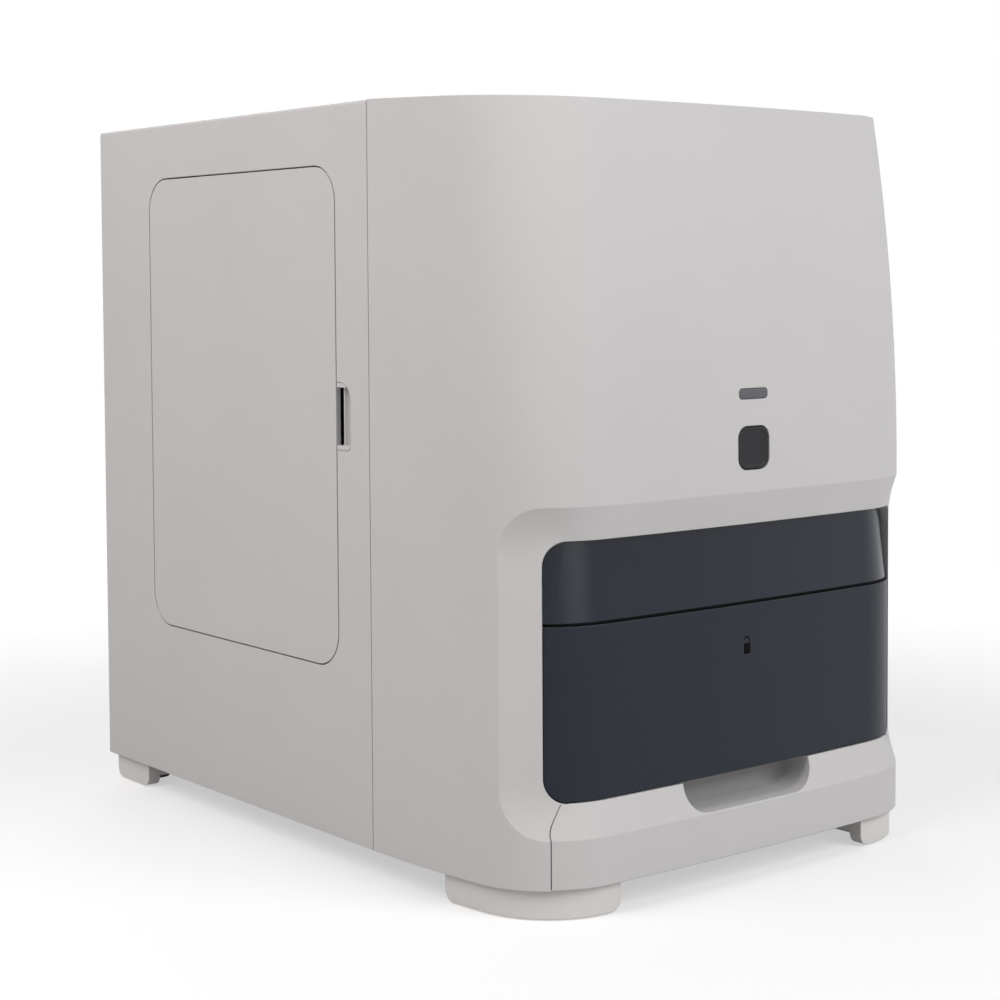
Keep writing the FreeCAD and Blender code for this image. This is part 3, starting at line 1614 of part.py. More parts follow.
def network_port():
    """Network socket in the rear panel."""
    z = floor_z + inlet_z
    w = port_width / 2
    h = port_height / 2
    body = box(port_x - w, port_x + w, panel_outer - port_depth, panel_outer, z - h, z + h)
    cw = port_cavity_width / 2
    ch = port_cavity_height / 2
    cavity = box(port_x - cw, port_x + cw, panel_outer - port_cavity_depth, panel_outer + overrun,
                 z - ch, z + ch)
    return body.cut(cavity)


fan_centre = Vector(fan_x, panel_inner - fan_depth, floor_z + fan_z)


def fan_frame():
    """Square fan housing with a round duct and struts that carry the hub's axle."""
    reach = fan_size / 2
    x = fan_centre.x
    z = fan_centre.z
    y0 = fan_centre.y
    block = rounded(Y, fan_corner, x - reach, x + reach, y0, panel_inner, z - reach, z + reach)
    duct = rod(fan_bore, fan_centre - Y * overrun, Y, fan_depth + 2 * overrun)
    w = fan_strut_width / 2
    bars = [box(x - fan_bore - w, x + fan_bore + w, y0, y0 + fan_strut_depth, z - w, z + w),
            box(x - w, x + w, y0, y0 + fan_strut_depth, z - fan_bore - w, z + fan_bore + w)]
    seat = rod(fan_hub_radius, fan_centre, Y, fan_strut_depth)
    axle = rod(fan_axle_radius, fan_centre, Y, fan_strut_depth + fan_hub_depth)
    return block.cut(duct).fuse(bars + [seat, axle]).removeSplitter()


def fan_rotor():
    """Hub with pitched blades, on the fan's axle."""
    y0 = fan_strut_depth + slide_fit
    hub = rod(fan_hub_radius, Vector(0, y0, 0), Y, fan_hub_depth)
    length = fan_bore - fan_blade_gap
    solids = []
    for step in range(fan_blade_count):
        blade = box(fan_hub_radius - fan_blade_wall, length, -fan_hub_depth / 2, fan_hub_depth / 2,
                    -fan_blade_wall / 2, fan_blade_wall / 2)
        blade.rotate(Vector(0, 0, 0), X, fan_blade_pitch)
        blade.translate(Vector(0, y0 + fan_hub_depth / 2, 0))
        blade.rotate(Vector(0, 0, 0), Y, 360 * step / fan_blade_count)
        solids.append(blade)
    sweep = rod(length, Vector(0, y0, 0), Y, fan_hub_depth)
    bore = rod(fan_axle_radius + shaft_fit, Vector(0, y0 - overrun, 0), Y, fan_hub_depth + 2 * overrun)
    rotor = hub.fuse(solids).common(sweep).cut(bore)
    rotor.translate(fan_centre)
    return rotor


def fan_guard():
    """Round wire guard on the rear panel, rings joined by two crossed bars."""
    centre = Vector(fan_centre.x, panel_outer, fan_centre.z)
    w = guard_wire / 2
    rings = []
    for step in range(guard_ring_count):
        radius = (step + 1) * guard_ring_pitch
        ring = rod(radius + w, centre, Y, guard_wire)
        rings.append(ring.cut(rod(radius - w, centre, Y, guard_wire)))
    reach = guard_spoke_reach
    bars = [box(centre.x - reach, centre.x + reach, panel_outer, panel_outer + guard_wire,
                centre.z - w, centre.z + w),
            box(centre.x - w, centre.x + w, panel_outer, panel_outer + guard_wire,
                centre.z - reach, centre.z + reach)]
    return fused(rings + bars)


save("front_cover", front_cover())
save("start_button", start_button())
save("lamp_lens", lamp_lens())
save("switch_board", switch_board())
save("drawer_fascia_lower", drawer_fascia_lower())
save("drawer_fascia_upper", drawer_fascia_upper())
save("drawer_lock_lamp", lock_prism(0, lock_glass))
save("waste_drawer_front", waste_drawer_front())
save("waste_bin", waste_bin())
save("waste_guide_left", mirrored(waste_guide()))
save("waste_guide_right", waste_guide())
save("sample_tray", sample_tray())
save("drawer_runner_left", mirrored(drawer_runner()))
save("drawer_runner_right", drawer_runner())
save("drawer_rail_left", mirrored(drawer_rail()))
save("drawer_rail_right", drawer_rail())
save("drive_pinion", drive_pinion())
save("drawer_rack", drawer_rack())
save("drive_motor", drive_motor())
save("main_casing", main_casing())
save("finger_cup", finger_cup())
save("access_door", access_door())
save("door_hinges", door_hinges())
save("door_hinge_pins", door_hinge_pins())
save("door_magnet", door_magnet())
save("door_strike", door_strike())
save("rear_panel", rear_panel())
save("panel_screws", panel_screws())
save("base_tray", base_tray())
save("front_foot_left", mirrored(front_foot()))
save("front_foot_right", front_foot())
save("rear_foot_left", mirrored(rear_foot()))
save("rear_foot_right", rear_foot())
save("foot_pads", foot_pads())
save("side_frame_left", mirrored(side_frame()))
save("side_frame_right", side_frame())
save("drive_shelf", drive_shelf())
save("upper_deck", upper_deck())
save("incubator_base", incubator_base())
save("incubator_rotor", incubator_rotor())
save("incubator_motor", incubator_motor())
save("slide_reader", slide_reader())
save("pipettor_gantry", pipettor_gantry())
save("guide_rods", guide_rods())
save("pipette_carriage", pipette_carriage())
save("pipette_head", pipette_head())
save("pipette_nozzle", pipette_nozzle())
save("gantry_motor", gantry_motor())
save("power_supply", power_supply())
save("board_standoffs", board_standoffs())
save("main_board", main_board())
save("power_inlet", power_inlet())
save("switch_housing", switch_housing())
save("power_rocker", power_rocker())
save("network_port", network_port())
save("fan_frame", fan_frame())
save("fan_rotor", fan_rotor())
save("fan_guard", fan_guard())
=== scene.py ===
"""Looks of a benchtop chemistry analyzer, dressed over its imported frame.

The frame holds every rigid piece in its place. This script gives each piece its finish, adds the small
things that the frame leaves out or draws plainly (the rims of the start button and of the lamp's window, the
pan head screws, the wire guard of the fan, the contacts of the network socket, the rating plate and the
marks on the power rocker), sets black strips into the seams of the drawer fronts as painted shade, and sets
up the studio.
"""

import json
import logging
import math
from collections.abc import Callable, Iterator
from contextlib import contextmanager
from dataclasses import dataclass
from enum import Enum

import bpy
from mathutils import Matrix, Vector

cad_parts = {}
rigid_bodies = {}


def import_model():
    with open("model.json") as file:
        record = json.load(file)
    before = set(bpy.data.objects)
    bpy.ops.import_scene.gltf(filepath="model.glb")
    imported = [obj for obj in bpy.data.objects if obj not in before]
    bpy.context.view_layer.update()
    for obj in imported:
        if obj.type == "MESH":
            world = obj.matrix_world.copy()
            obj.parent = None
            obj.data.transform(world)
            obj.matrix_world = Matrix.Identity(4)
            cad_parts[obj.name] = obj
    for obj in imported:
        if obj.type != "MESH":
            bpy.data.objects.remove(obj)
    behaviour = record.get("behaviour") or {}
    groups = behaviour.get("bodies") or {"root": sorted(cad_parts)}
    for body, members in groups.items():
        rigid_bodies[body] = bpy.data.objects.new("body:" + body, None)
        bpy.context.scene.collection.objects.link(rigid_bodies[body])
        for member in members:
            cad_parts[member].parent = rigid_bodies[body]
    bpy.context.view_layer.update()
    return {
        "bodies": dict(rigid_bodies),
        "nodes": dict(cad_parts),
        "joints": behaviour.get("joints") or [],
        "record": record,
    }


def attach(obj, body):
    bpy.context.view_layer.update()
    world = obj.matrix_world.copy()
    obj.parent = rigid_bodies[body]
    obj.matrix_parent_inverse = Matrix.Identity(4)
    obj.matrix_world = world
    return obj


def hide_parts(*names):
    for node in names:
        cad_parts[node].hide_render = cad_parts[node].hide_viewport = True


LOG = logging.getLogger("analyzer")
MM = 0.001

# Three numbers along X, Y and Z: a place, a size or shares.
Triple = tuple[float, float, float]
Colour = tuple[float, float, float]
WHITE: Colour = (1.0, 1.0, 1.0)
WARM_WHITE: Colour = (1.0, 0.965, 0.945)

# What all finishes have in common: how finely their noise is broken up and which middle part of it counts.
FULL_DETAIL = 3.0
SOFT_DETAIL = 2.0
NOISE_ROUGHNESS = 0.55
MIDDLE_SPAN = (0.3, 0.7)

# Cells of the mottling per metre, the share by which the roughness goes up and down, the strength of the
# bump, and the lean of the bevelled normal over which an edge goes from lightened (wear and painted
# highlight) to whole.
MOTTLING_CELLS = 14.0
ROUGHNESS_SPREAD = 0.12
BUMP_STRENGTH = 0.6
BEVEL_SAMPLES = 4
WEAR_AND_HIGHLIGHT_SPAN = (0.75, 0.97)

# Share of a normal along an axis past which a face looks that way, and the faces across a rounded edge.
SQUARE_ON = 0.9
EDGE_SEGMENTS = 2

# Middle of the fan on the rear panel, and the pitch of its four screws.
FAN_X = 58.0 * MM
FAN_Z = 108.0 * MM
FAN_PITCH = 71.5 * MM


def srgb(red: int, green: int, blue: int) -> Colour:
    """Linear colour of an 8-bit screen colour.

    Args:
        red: Red, 0 to 255.
        green: Green, 0 to 255.
        blue: Blue, 0 to 255.

    Returns:
        The three linear shares.
    """
    shares = (value / 255 for value in (red, green, blue))
    return tuple(share / 12.92 if share < 0.04045 else ((share + 0.055) / 1.055) ** 2.4 for share in shares)


class Grain(Enum):
    """Ways in which a surface is textured."""

    MOULD = "spark-eroded mould texture"
    SATIN = "satin moulding"
    COAT = "powder coat"
    BRUSHED = "brushed or ground metal"
    RUBBER = "soft rubber"
    CLEAR = "polished window"


@dataclass(frozen=True)
class GrainShape:
    """Noise sizes of a grain, in cells per metre, and the depth of its bump in metres."""

    cells: float
    fine_cells: float
    depth: float
    stretch: Triple = (1.0, 1.0, 1.0)


GRAIN_SHAPES = {
    Grain.MOULD: GrainShape(1500.0, 4200.0, 0.00006),
    Grain.SATIN: GrainShape(900.0, 2600.0, 0.00002),
    Grain.COAT: GrainShape(700.0, 2400.0, 0.00007),
    Grain.BRUSHED: GrainShape(260.0, 5200.0, 0.00002, (1.0, 0.06, 1.0)),
    Grain.RUBBER: GrainShape(600.0, 1900.0, 0.0001),
    Grain.CLEAR: GrainShape(90.0, 700.0, 0.000004),
}


class Sketch:
    """A material's node tree with short calls for adding and joining nodes."""

    def __init__(self, name: str) -> None:
        """Start an empty material that ends in one Principled shader.

        Args:
            name: Name of the material.
        """
        self.material = bpy.data.materials.new(name)
        self.material.use_nodes = True
        self.tree = self.material.node_tree
        self.tree.nodes.clear()
        self.shader = self.add("ShaderNodeBsdfPrincipled")
        output = self.add("ShaderNodeOutputMaterial")
        self.join(self.shader, "BSDF", output, "Surface")

    def add(self, kind: str, **settings: object) -> bpy.types.Node:
        """Add a node.

        Args:
            kind: Blender's name of the node type.
            **settings: Properties of the node, or values of its inputs by their names with _ for a space.

        Returns:
            The new node.
        """
        node = self.tree.nodes.new(kind)
        for key, value in settings.items():
            if hasattr(node, key):
                setattr(node, key, value)
            else:
                node.inputs[key.replace("_", " ")].default_value = value
        return node

    def join(self, source: bpy.types.Node, out: str, target: bpy.types.Node, into: str | int) -> None:
        """Link an output of one node to an input of another."""
        self.tree.links.new(source.outputs[out], target.inputs[into])

    def place(self, stretch: Triple = (1.0, 1.0, 1.0)) -> bpy.types.Node:
        """Object coordinates, stretched along the axes.

        Args:
            stretch: How many times denser the pattern is along X, Y and Z.

        Returns:
            The Mapping node.
        """
        coordinates = self.add("ShaderNodeTexCoord")
        mapping = self.add("ShaderNodeMapping", Scale=stretch)
        self.join(coordinates, "Object", mapping, "Vector")
        return mapping

    def noise(self, place: bpy.types.Node, cells: float, detail: float = FULL_DETAIL) -> bpy.types.Node:
        """Noise on a Mapping node's vector.

        Args:
            place: The Mapping node.
            cells: Cells per metre.
            detail: How many finer layers are added.

        Returns:
            The Noise Texture node.
        """
        node = self.add("ShaderNodeTexNoise", Scale=cells, Detail=detail, Roughness=NOISE_ROUGHNESS)
        self.join(place, "Vector", node, "Vector")
        return node

    def remap(self, source: bpy.types.Node, out: str, low: float, high: float,
              span: tuple[float, float] = MIDDLE_SPAN) -> bpy.types.Node:
        """Map an output's middle span to a range of values.

        Args:
            source: Node whose output is read.
            out: Name of that output.
            low: Value at the start of the span.
            high: Value at its end.
            span: Part of the output that is spread over the range.

        Returns:
            The Map Range node.
        """
        node = self.add("ShaderNodeMapRange", From_Min=span[0], From_Max=span[1], To_Min=low, To_Max=high)
        self.join(source, out, node, "Value")
        return node

    def blend(self, share: bpy.types.Node, out: str, first: Colour, second: Colour) -> bpy.types.Node:
        """Colour that goes from the first to the second as a share rises from 0 to 1.

        Args:
            share: Node that gives the share.
            out: Name of its output.
            first: Colour at 0.
            second: Colour at 1.

        Returns:
            The Color Ramp node.
        """
        node = self.add("ShaderNodeValToRGB")
        node.color_ramp.elements[0].color = (*first, 1.0)
        node.color_ramp.elements[1].color = (*second, 1.0)
        self.join(share, out, node, "Fac")
        return node


@dataclass(frozen=True)
class Finish:
    """One finish of the analyzer: colour, grain, roughness and how its edges are lightened, partly as wear
    and partly as a painted highlight.
    """

    name: str
    colour: Colour
    grain: Grain
    roughness: float
    metallic: float = 0.0
    mottling: float = 0.03
    # Share by which the colour is lightened along edges: partly wear, partly a painted highlight on rounded
    # edges.
    edge_wear_and_highlight: float = 0.06
    edge_radius: float = 0.0006
    specular: float = 0.5

    def build(self) -> bpy.types.Material:
        """Make the material: mottled colour, lighter edges that are part wear and part painted highlight,
        uneven roughness and a grain bump.

        Returns:
            The material.
        """
        shape = GRAIN_SHAPES[self.grain]
        sketch = Sketch(self.name)
        shader = sketch.shader
        place = sketch.place(shape.stretch)
        broad = sketch.noise(sketch.place(), MOTTLING_CELLS, SOFT_DETAIL)
        fine = sketch.noise(place, shape.cells)
        finest = sketch.noise(place, shape.fine_cells, SOFT_DETAIL)
        darker = tuple(value * (1 - self.mottling) for value in self.colour)
        lighter = tuple(min(1.0, value * (1 + self.mottling)) for value in self.colour)
        tone = sketch.blend(sketch.remap(broad, "Fac", 0.0, 1.0), "Result", darker, lighter)
        soft_edge = sketch.add("ShaderNodeBevel", samples=BEVEL_SAMPLES, Radius=self.edge_radius)
        sketch.join(self.worn_and_highlit_tone(sketch, tone, soft_edge), "Result", shader, "Base Color")
        rough = sketch.remap(fine, "Fac", self.roughness * (1 - ROUGHNESS_SPREAD),
                             min(1.0, self.roughness * (1 + ROUGHNESS_SPREAD)))
        sketch.join(rough, "Result", shader, "Roughness")
        bump = sketch.add("ShaderNodeBump", Strength=BUMP_STRENGTH, Distance=shape.depth)
        both = sketch.add("ShaderNodeMath", operation="ADD")
        sketch.join(fine, "Fac", both, 0)
        sketch.join(finest, "Fac", both, 1)
        sketch.join(both, "Value", bump, "Height")
        sketch.join(soft_edge, "Normal", bump, "Normal")
        sketch.join(bump, "Normal", shader, "Normal")
        shader.inputs["Metallic"].default_value = self.metallic
        shader.inputs["Specular IOR Level"].default_value = self.specular
        return sketch.material

    def worn_and_highlit_tone(self, sketch: Sketch, tone: bpy.types.Node, soft_edge: bpy.types.Node) -> bpy.types.Node:
        """Lighten the tone along edges: partly wear where the surface is rubbed, partly a painted highlight
        where a rounded edge would catch the light.

        Args:
            sketch: The material's node tree.
            tone: Node whose colour is the plain surface.
            soft_edge: Bevel node whose normal leans over near an edge.

        Returns:
            The Mix node with the colour, edges included.
        """
        geometry = sketch.add("ShaderNodeNewGeometry")
        match = sketch.add("ShaderNodeVectorMath", operation="DOT_PRODUCT")
        sketch.join(soft_edge, "Normal", match, 0)
        sketch.join(geometry, "Normal", match, 1)
        edge = sketch.remap(match, "Value", 1.0, 0.0, WEAR_AND_HIGHLIGHT_SPAN)
        mix = sketch.add("ShaderNodeMix", data_type="RGBA")
        # Painted highlight and wear: the edge colour is the finish's colour lightened.
        worn_and_highlit = (min(1.0, value + self.edge_wear_and_highlight) for value in self.colour)
        mix.inputs["B"].default_value = (*worn_and_highlit, 1.0)
        sketch.join(edge, "Result", mix, "Factor")
        sketch.join(tone, "Color", mix, "A")
        return mix


FINISHES = {
    "light_housing": Finish("light_housing_plastic", srgb(198, 196, 196), Grain.MOULD, 0.58, mottling=0.012,
                            specular=0.3),
    # Housing plastic painted lighter for the feet: painted light that makes up for the shade that falls on
    # them low down.
    "foot_plastic_painted_lighter": Finish("foot_plastic_painted_lighter", srgb(213, 210, 208), Grain.MOULD, 0.5, mottling=0.012),
    "upper_dark_panel": Finish("upper_dark_panel_plastic", srgb(8, 20, 36), Grain.MOULD, 0.17,
                               edge_wear_and_highlight=0.05, specular=0.37),
    "dark_panel": Finish("dark_panel_plastic", srgb(33, 38, 47), Grain.MOULD, 0.38, edge_wear_and_highlight=0.05,
                         specular=0.2),
    "button_cap": Finish("button_rubberised_plastic", srgb(38, 37, 40), Grain.SATIN, 0.5, edge_wear_and_highlight=0.03,
                         specular=0.2),
    "lamp_window": Finish("lamp_window_plastic", srgb(86, 85, 91), Grain.CLEAR, 0.3, edge_wear_and_highlight=0.03),
    "grey_moulding": Finish("grey_tray_plastic", srgb(176, 178, 180), Grain.SATIN, 0.48),
    "circuit_board": Finish("solder_mask_green", srgb(24, 92, 52), Grain.CLEAR, 0.35),
    "steel_sheet": Finish("powder_coated_steel", srgb(196, 197, 199), Grain.COAT, 0.5),
    "bright_steel": Finish("zinc_plated_steel", srgb(198, 199, 201), Grain.BRUSHED, 0.34, metallic=1.0),
    "brass_gear": Finish("machined_brass", srgb(206, 172, 102), Grain.BRUSHED, 0.32, metallic=1.0),
    "white_nylon": Finish("white_nylon", srgb(232, 230, 222), Grain.SATIN, 0.5),
    "black_motor": Finish("black_motor_coat", srgb(38, 38, 41), Grain.COAT, 0.45, edge_wear_and_highlight=0.03),
    "black_plastic": Finish("black_plastic", srgb(34, 34, 36), Grain.SATIN, 0.45, edge_wear_and_highlight=0.03),
    "heater_aluminium": Finish("anodised_aluminium", srgb(214, 215, 217), Grain.BRUSHED, 0.4, metallic=1.0),
    # Near black: the own colour of the lock's window, and painted shade on the strips set into the drawer
    # seams, where there is only shadow in the gaps.
    "black_lock_and_seam_shade": Finish("black_lock_window_and_painted_seam_shade", srgb(10, 10, 12), Grain.SATIN, 0.6, edge_wear_and_highlight=0.0,
                         specular=0.04),
    "foot_rubber": Finish("foot_rubber", srgb(42, 42, 43), Grain.RUBBER, 0.75, edge_wear_and_highlight=0.0),
}

# Nodes whose finish isn't the usual one of their slot.
OWN_LOOKS = {
    "drawer_fascia_upper": "upper_dark_panel",
    "drawer_lock_lamp": "black_lock_and_seam_shade",
    # The feet take the housing plastic painted lighter, as painted light against the shade low down.
    "front_foot_left": "foot_plastic_painted_lighter",
    "front_foot_right": "foot_plastic_painted_lighter",
    "rear_foot_left": "foot_plastic_painted_lighter",
    "rear_foot_right": "foot_plastic_painted_lighter",
}


class Bench:
    """Selection and edit mode steps shared by all builders."""

    @staticmethod
    def only(piece: bpy.types.Object) -> None:
        """Select one object and make it active.

        Args:
            piece: The object.
        """
        bpy.ops.object.select_all(action="DESELECT")
        piece.select_set(True)
        bpy.context.view_layer.objects.active = piece

    @staticmethod
    @contextmanager
    def editing(piece: bpy.types.Object) -> Iterator[None]:
        """Edit mode on one object for the time of a with block.

        Args:
            piece: The object.
        """
        Bench.only(piece)
        bpy.ops.object.mode_set(mode="EDIT")
        yield
        bpy.ops.object.mode_set(mode="OBJECT")

    @staticmethod
    def modify(piece: bpy.types.Object, kind: str, **settings: object) -> None:
        """Add a modifier with its settings and apply it.

        Args:
            piece: The object.
            kind: Blender's name of the modifier type.
            **settings: Properties of the modifier.
        """
        Bench.only(piece)
        modifier = piece.modifiers.new(kind.lower(), kind)
        for key, value in settings.items():
            setattr(modifier, key, value)
        bpy.ops.object.modifier_apply(modifier=modifier.name)

    @staticmethod
    def cut(piece: bpy.types.Object, cutter: bpy.types.Object) -> None:
        """Cut one shape out of another and throw the cutter away.

        Args:
            piece: What is cut.
            cutter: The shape that is taken away.
        """
        Bench.modify(piece, "BOOLEAN", object=cutter, operation="DIFFERENCE", solver="EXACT")
        bpy.data.objects.remove(cutter, do_unlink=True)

    @staticmethod
    def settle(piece: bpy.types.Object, name: str) -> bpy.types.Object:
        """Name a piece and move its place into its mesh.

        Args:
            piece: The piece, wherever it stands.
            name: Its name.

        Returns:
            The piece, at the origin.
        """
        piece.name = name
        piece.data.name = name
        Bench.only(piece)
        bpy.ops.object.transform_apply(location=True, rotation=True, scale=True)
        return piece

    @staticmethod
    def mend(piece: bpy.types.Object, distance: float = 0.001 * MM) -> None:
        """Merge the doubled points of a spun shape and turn its faces outwards.

        Args:
            piece: The shape.
            distance: How close the points are that count as one.
        """
        with Bench.editing(piece):
            bpy.ops.mesh.select_all(action="SELECT")
            bpy.ops.mesh.remove_doubles(threshold=distance)
            bpy.ops.mesh.normals_make_consistent(inside=False)

    @staticmethod
    def pick(piece: bpy.types.Object, test: Callable[[bpy.types.MeshPolygon], bool]) -> None:
        """Select only the faces that pass a test, from object mode.

        Args:
            piece: The object whose faces are selected.
            test: Says whether a face is wanted.
        """
        for part in (piece.data.vertices, piece.data.edges):
            for item in part:
                item.select = False
        for face in piece.data.polygons:
            face.select = test(face)
            for corner in face.vertices if face.select else ():
                piece.data.vertices[corner].select = True

    @staticmethod
    def copy_to(piece: bpy.types.Object, place: Triple) -> bpy.types.Object:
        """Copy a piece with its own mesh to another place.

        Args:
            piece: The piece at the origin.
            place: Where the copy goes.

        Returns:
            The copy, settled.
        """
        copy = piece.copy()
        copy.data = piece.data.copy()
        bpy.context.scene.collection.objects.link(copy)
        copy.location = place
        return Bench.settle(copy, piece.name + "_copy")

    @staticmethod
    def join(pieces: list[bpy.types.Object], name: str) -> bpy.types.Object:
        """Join pieces into the first of them.

        Args:
            pieces: The pieces.
            name: Name of the joined piece.

        Returns:
            The joined piece.
        """
        Bench.only(pieces[0])
        for piece in pieces:
            piece.select_set(True)
        bpy.ops.object.join()
        return Bench.settle(pieces[0], name)

    @staticmethod
    def ring(radius: float, wire: float, corners: int, steps: int = 64) -> bpy.types.Object:
        """Ring round the Y axis, spun from a small circle.

        Args:
            radius: Radius of the ring's middle line.
            wire: Radius of the wire.
            corners: Corners of the wire's section.
            steps: Steps of the spin.

        Returns:
            The ring, at the origin.
        """
        bpy.ops.object.select_all(action="DESELECT")
        bpy.ops.mesh.primitive_circle_add(vertices=corners, radius=wire, location=(radius, 0, 0),
                                          rotation=(0, 0, math.pi / corners))
        piece = Bench.settle(bpy.context.active_object, "ring")
        with Bench.editing(piece):
            bpy.ops.mesh.select_all(action="SELECT")
            bpy.ops.mesh.spin(steps=steps, angle=math.tau, center=(0, 0, 0), axis=(0, 1, 0))
        Bench.mend(piece)
        return piece

    @staticmethod
    def block(size: Triple, place: Triple, name: str) -> bpy.types.Object:
        """Box to be shaped further.

        Args:
            size: Its sides.
            place: Its middle.
            name: Its name.

        Returns:
            The box, with its place in its mesh.
        """
        bpy.ops.object.select_all(action="DESELECT")
        bpy.ops.mesh.primitive_cube_add(size=1.0, location=place, scale=size)
        return Bench.settle(bpy.context.active_object, name)

    @staticmethod
    def smooth(piece: bpy.types.Object, degrees: float = 32.0) -> None:
        """Shade a piece smooth across all but its sharp edges."""
        Bench.only(piece)
        bpy.ops.object.shade_smooth_by_angle(angle=math.radians(degrees))


@dataclass(frozen=True)
class Rim:
    """Rim round the sunk front of the button or of the lamp's window, in metres."""

    rounding: float
    width: float
    slope: float
    sink: float


RIMS = {
    "start_button": Rim(0.25 * MM, 1.0 * MM, 0.4 * MM, 0.25 * MM),
    "lamp_lens": Rim(0.2 * MM, 0.7 * MM, 0.3 * MM, 0.15 * MM),
}


@dataclass
class Dresser:
    """Gives every frame node and every new piece its finish, and reshapes copies of a few nodes."""

    frame: dict
    materials: dict[str, bpy.types.Material]
    merge_distance: float = 0.002 * MM
    front_facing: float = 0.8
    rim_angle: float = 50.0
    smooth_angle: float = 30.0

    def slot_of(self, node: str) -> str:
        """Material slot that the record gives a node."""
        subparts = self.frame["record"]["subparts"]
        return next(part["material_slot"] for part in subparts if part["node"] == node)

    def body_of(self, node: str) -> str:
        """Body that a node rides on."""
        bodies = self.frame["record"]["behaviour"]["bodies"]
        return next(body for body, nodes in bodies.items() if node in nodes)

    def paint(self, node: str, look: str | None = None) -> None:
        """Give a frame node its finish.

        Args:
            node: The frame node.
            look: Finish of its own, when the slot's usual one doesn't suit it.
        """
        finish = self.materials[look or self.slot_of(node)]
        for slot in self.frame["nodes"][node].material_slots:
            slot.material = finish
        LOG.info("painted %s, %s", node, finish.name)

    def copy_of(self, node: str, name: str) -> bpy.types.Object:
        """Merged copy of a frame node's mesh.

        Args:
            node: The frame node.
            name: Name of the copy.

        Returns:
            The copy, not yet on a body.
        """
        piece = bpy.data.objects.new(name, self.frame["nodes"][node].data.copy())
        bpy.context.scene.collection.objects.link(piece)
        Bench.only(piece)
        bpy.ops.mesh.customdata_custom_splitnormals_clear()
        with Bench.editing(piece):
            bpy.ops.mesh.select_all(action="SELECT")
            bpy.ops.mesh.remove_doubles(threshold=self.merge_distance)
        return piece

    def finish(self, piece: bpy.types.Object, body: str, slot: str, *nodes: str,
               look: str | None = None) -> None:
        """Give a new piece its finish and its body, and the nodes that it stands for.

        Args:
            piece: The new piece.
            body: Body that it rides on.
            slot: Material slot of the record.
            *nodes: Frame nodes that it replaces.
            look: Finish of its own, when the slot's usual one doesn't suit it.
        """
        piece.data.materials.clear()
        piece.data.materials.append(self.materials[look or slot])
        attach(piece, body)
        if nodes:
            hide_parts(*nodes)
        LOG.info("made %s, %d faces", piece.name, len(piece.data.polygons))

    def add_rim(self, node: str, rim: Rim) -> None:
        """Stand a copy of a node in for it, with rounded edges and a front sunk inside a rim.

        Args:
            node: The frame node.
            rim: Measures of the rim.
        """
        piece = self.copy_of(node, node + "_rimmed")
        Bench.pick(piece, lambda face: face.normal.y < -self.front_facing)
        with Bench.editing(piece):
            bpy.ops.mesh.inset(thickness=rim.width, depth=0.0)
            bpy.ops.mesh.inset(thickness=rim.slope, depth=-rim.sink)
        Bench.modify(piece, "BEVEL", width=rim.rounding, segments=EDGE_SEGMENTS, limit_method="ANGLE",
                     angle_limit=math.radians(self.rim_angle), use_clamp_overlap=True)
        Bench.smooth(piece, self.smooth_angle)
        self.finish(piece, self.body_of(node), self.slot_of(node), node)


@dataclass
class SeamShadeStrips:
    """Black strips at the bottom of the seams round the drawer fronts, set back from their faces: painted
    shade that stands in for the shadow deep in the gaps.

    The strip across is the top of the lower dark front, brought up into the seam. The strips beside are the
    ends of the waste drawer's front, made longer and hollowed from behind to a thin shell.
    """

    dresser: Dresser
    low: float = 121.2 * MM
    high: float = 122.4 * MM
    setback: float = 0.7 * MM
    width_share: float = 0.994
    side_from: float = 98.0 * MM
    side_reach: float = 0.35 * MM
    side_setback: float = 0.35 * MM
    side_middle: float = 30.0 * MM
    side_height_share: float = 0.97
    side_depth: float = 3.0 * MM
    cutter_share: Triple = (1.012, 1.0, 1.12)

    def across(self) -> None:
        """Painted shade strip between the two dark fronts, from the top of the lower one."""
        piece = self.dresser.copy_of("drawer_fascia_lower", "drawer_seam_shade_strip")
        height = self.high - self.low
        with Bench.editing(piece):
            bpy.ops.mesh.select_all(action="SELECT")
            bpy.ops.mesh.bisect(plane_co=(0, 0, self.low - height), plane_no=(0, 0, 1), use_fill=True,
                                clear_inner=True)
            bpy.ops.mesh.select_all(action="SELECT")
            bpy.ops.transform.translate(value=(0, self.setback, height))
            bpy.ops.transform.resize(value=(self.width_share, 1.0, 1.0), center_override=(0, 0, 0))
        Bench.smooth(piece)
        # Painted shade: a near black strip in the gap between the two dark fronts.
        self.dresser.finish(piece, "sample_drawer", "black_plastic", look="black_lock_and_seam_shade")

    def beside(self, side: int) -> bpy.types.Object:
        """Painted shade strip in the seam at one end of the waste drawer's front.

        Args:
            side: 1 for the right end, -1 for the left one.

        Returns:
            The strip.
        """
        piece = self.dresser.copy_of("waste_drawer_front", "waste_drawer_seam_shade_strip")
        half = piece.dimensions.x / 2
        with Bench.editing(piece):
            bpy.ops.mesh.select_all(action="SELECT")
            bpy.ops.mesh.bisect(plane_co=(side * self.side_from, 0, 0), plane_no=(side, 0, 0), use_fill=True,
                                clear_inner=True)
            bpy.ops.mesh.select_all(action="SELECT")
            bpy.ops.transform.translate(value=(0, self.side_setback, 0))
            bpy.ops.transform.resize(value=(1 + self.side_reach / half, 1.0, self.side_height_share),
                                     center_override=(0, 0, self.side_middle))
        cutter = Bench.copy_to(piece, (0, self.side_depth, 0))
        with Bench.editing(cutter):
            bpy.ops.mesh.select_all(action="SELECT")
            bpy.ops.transform.resize(value=self.cutter_share, center_override=(0, 0, self.side_middle))
        Bench.cut(piece, cutter)
        return piece

    def build(self) -> None:
        """Build all the painted shade strips."""
        self.across()
        sides = Bench.join([self.beside(1), self.beside(-1)], "waste_drawer_seam_shade_strips")
        # Painted shade: near black strips in the gaps beside the waste drawer's front.
        self.dresser.finish(sides, "waste_drawer", "black_plastic", look="black_lock_and_seam_shade")


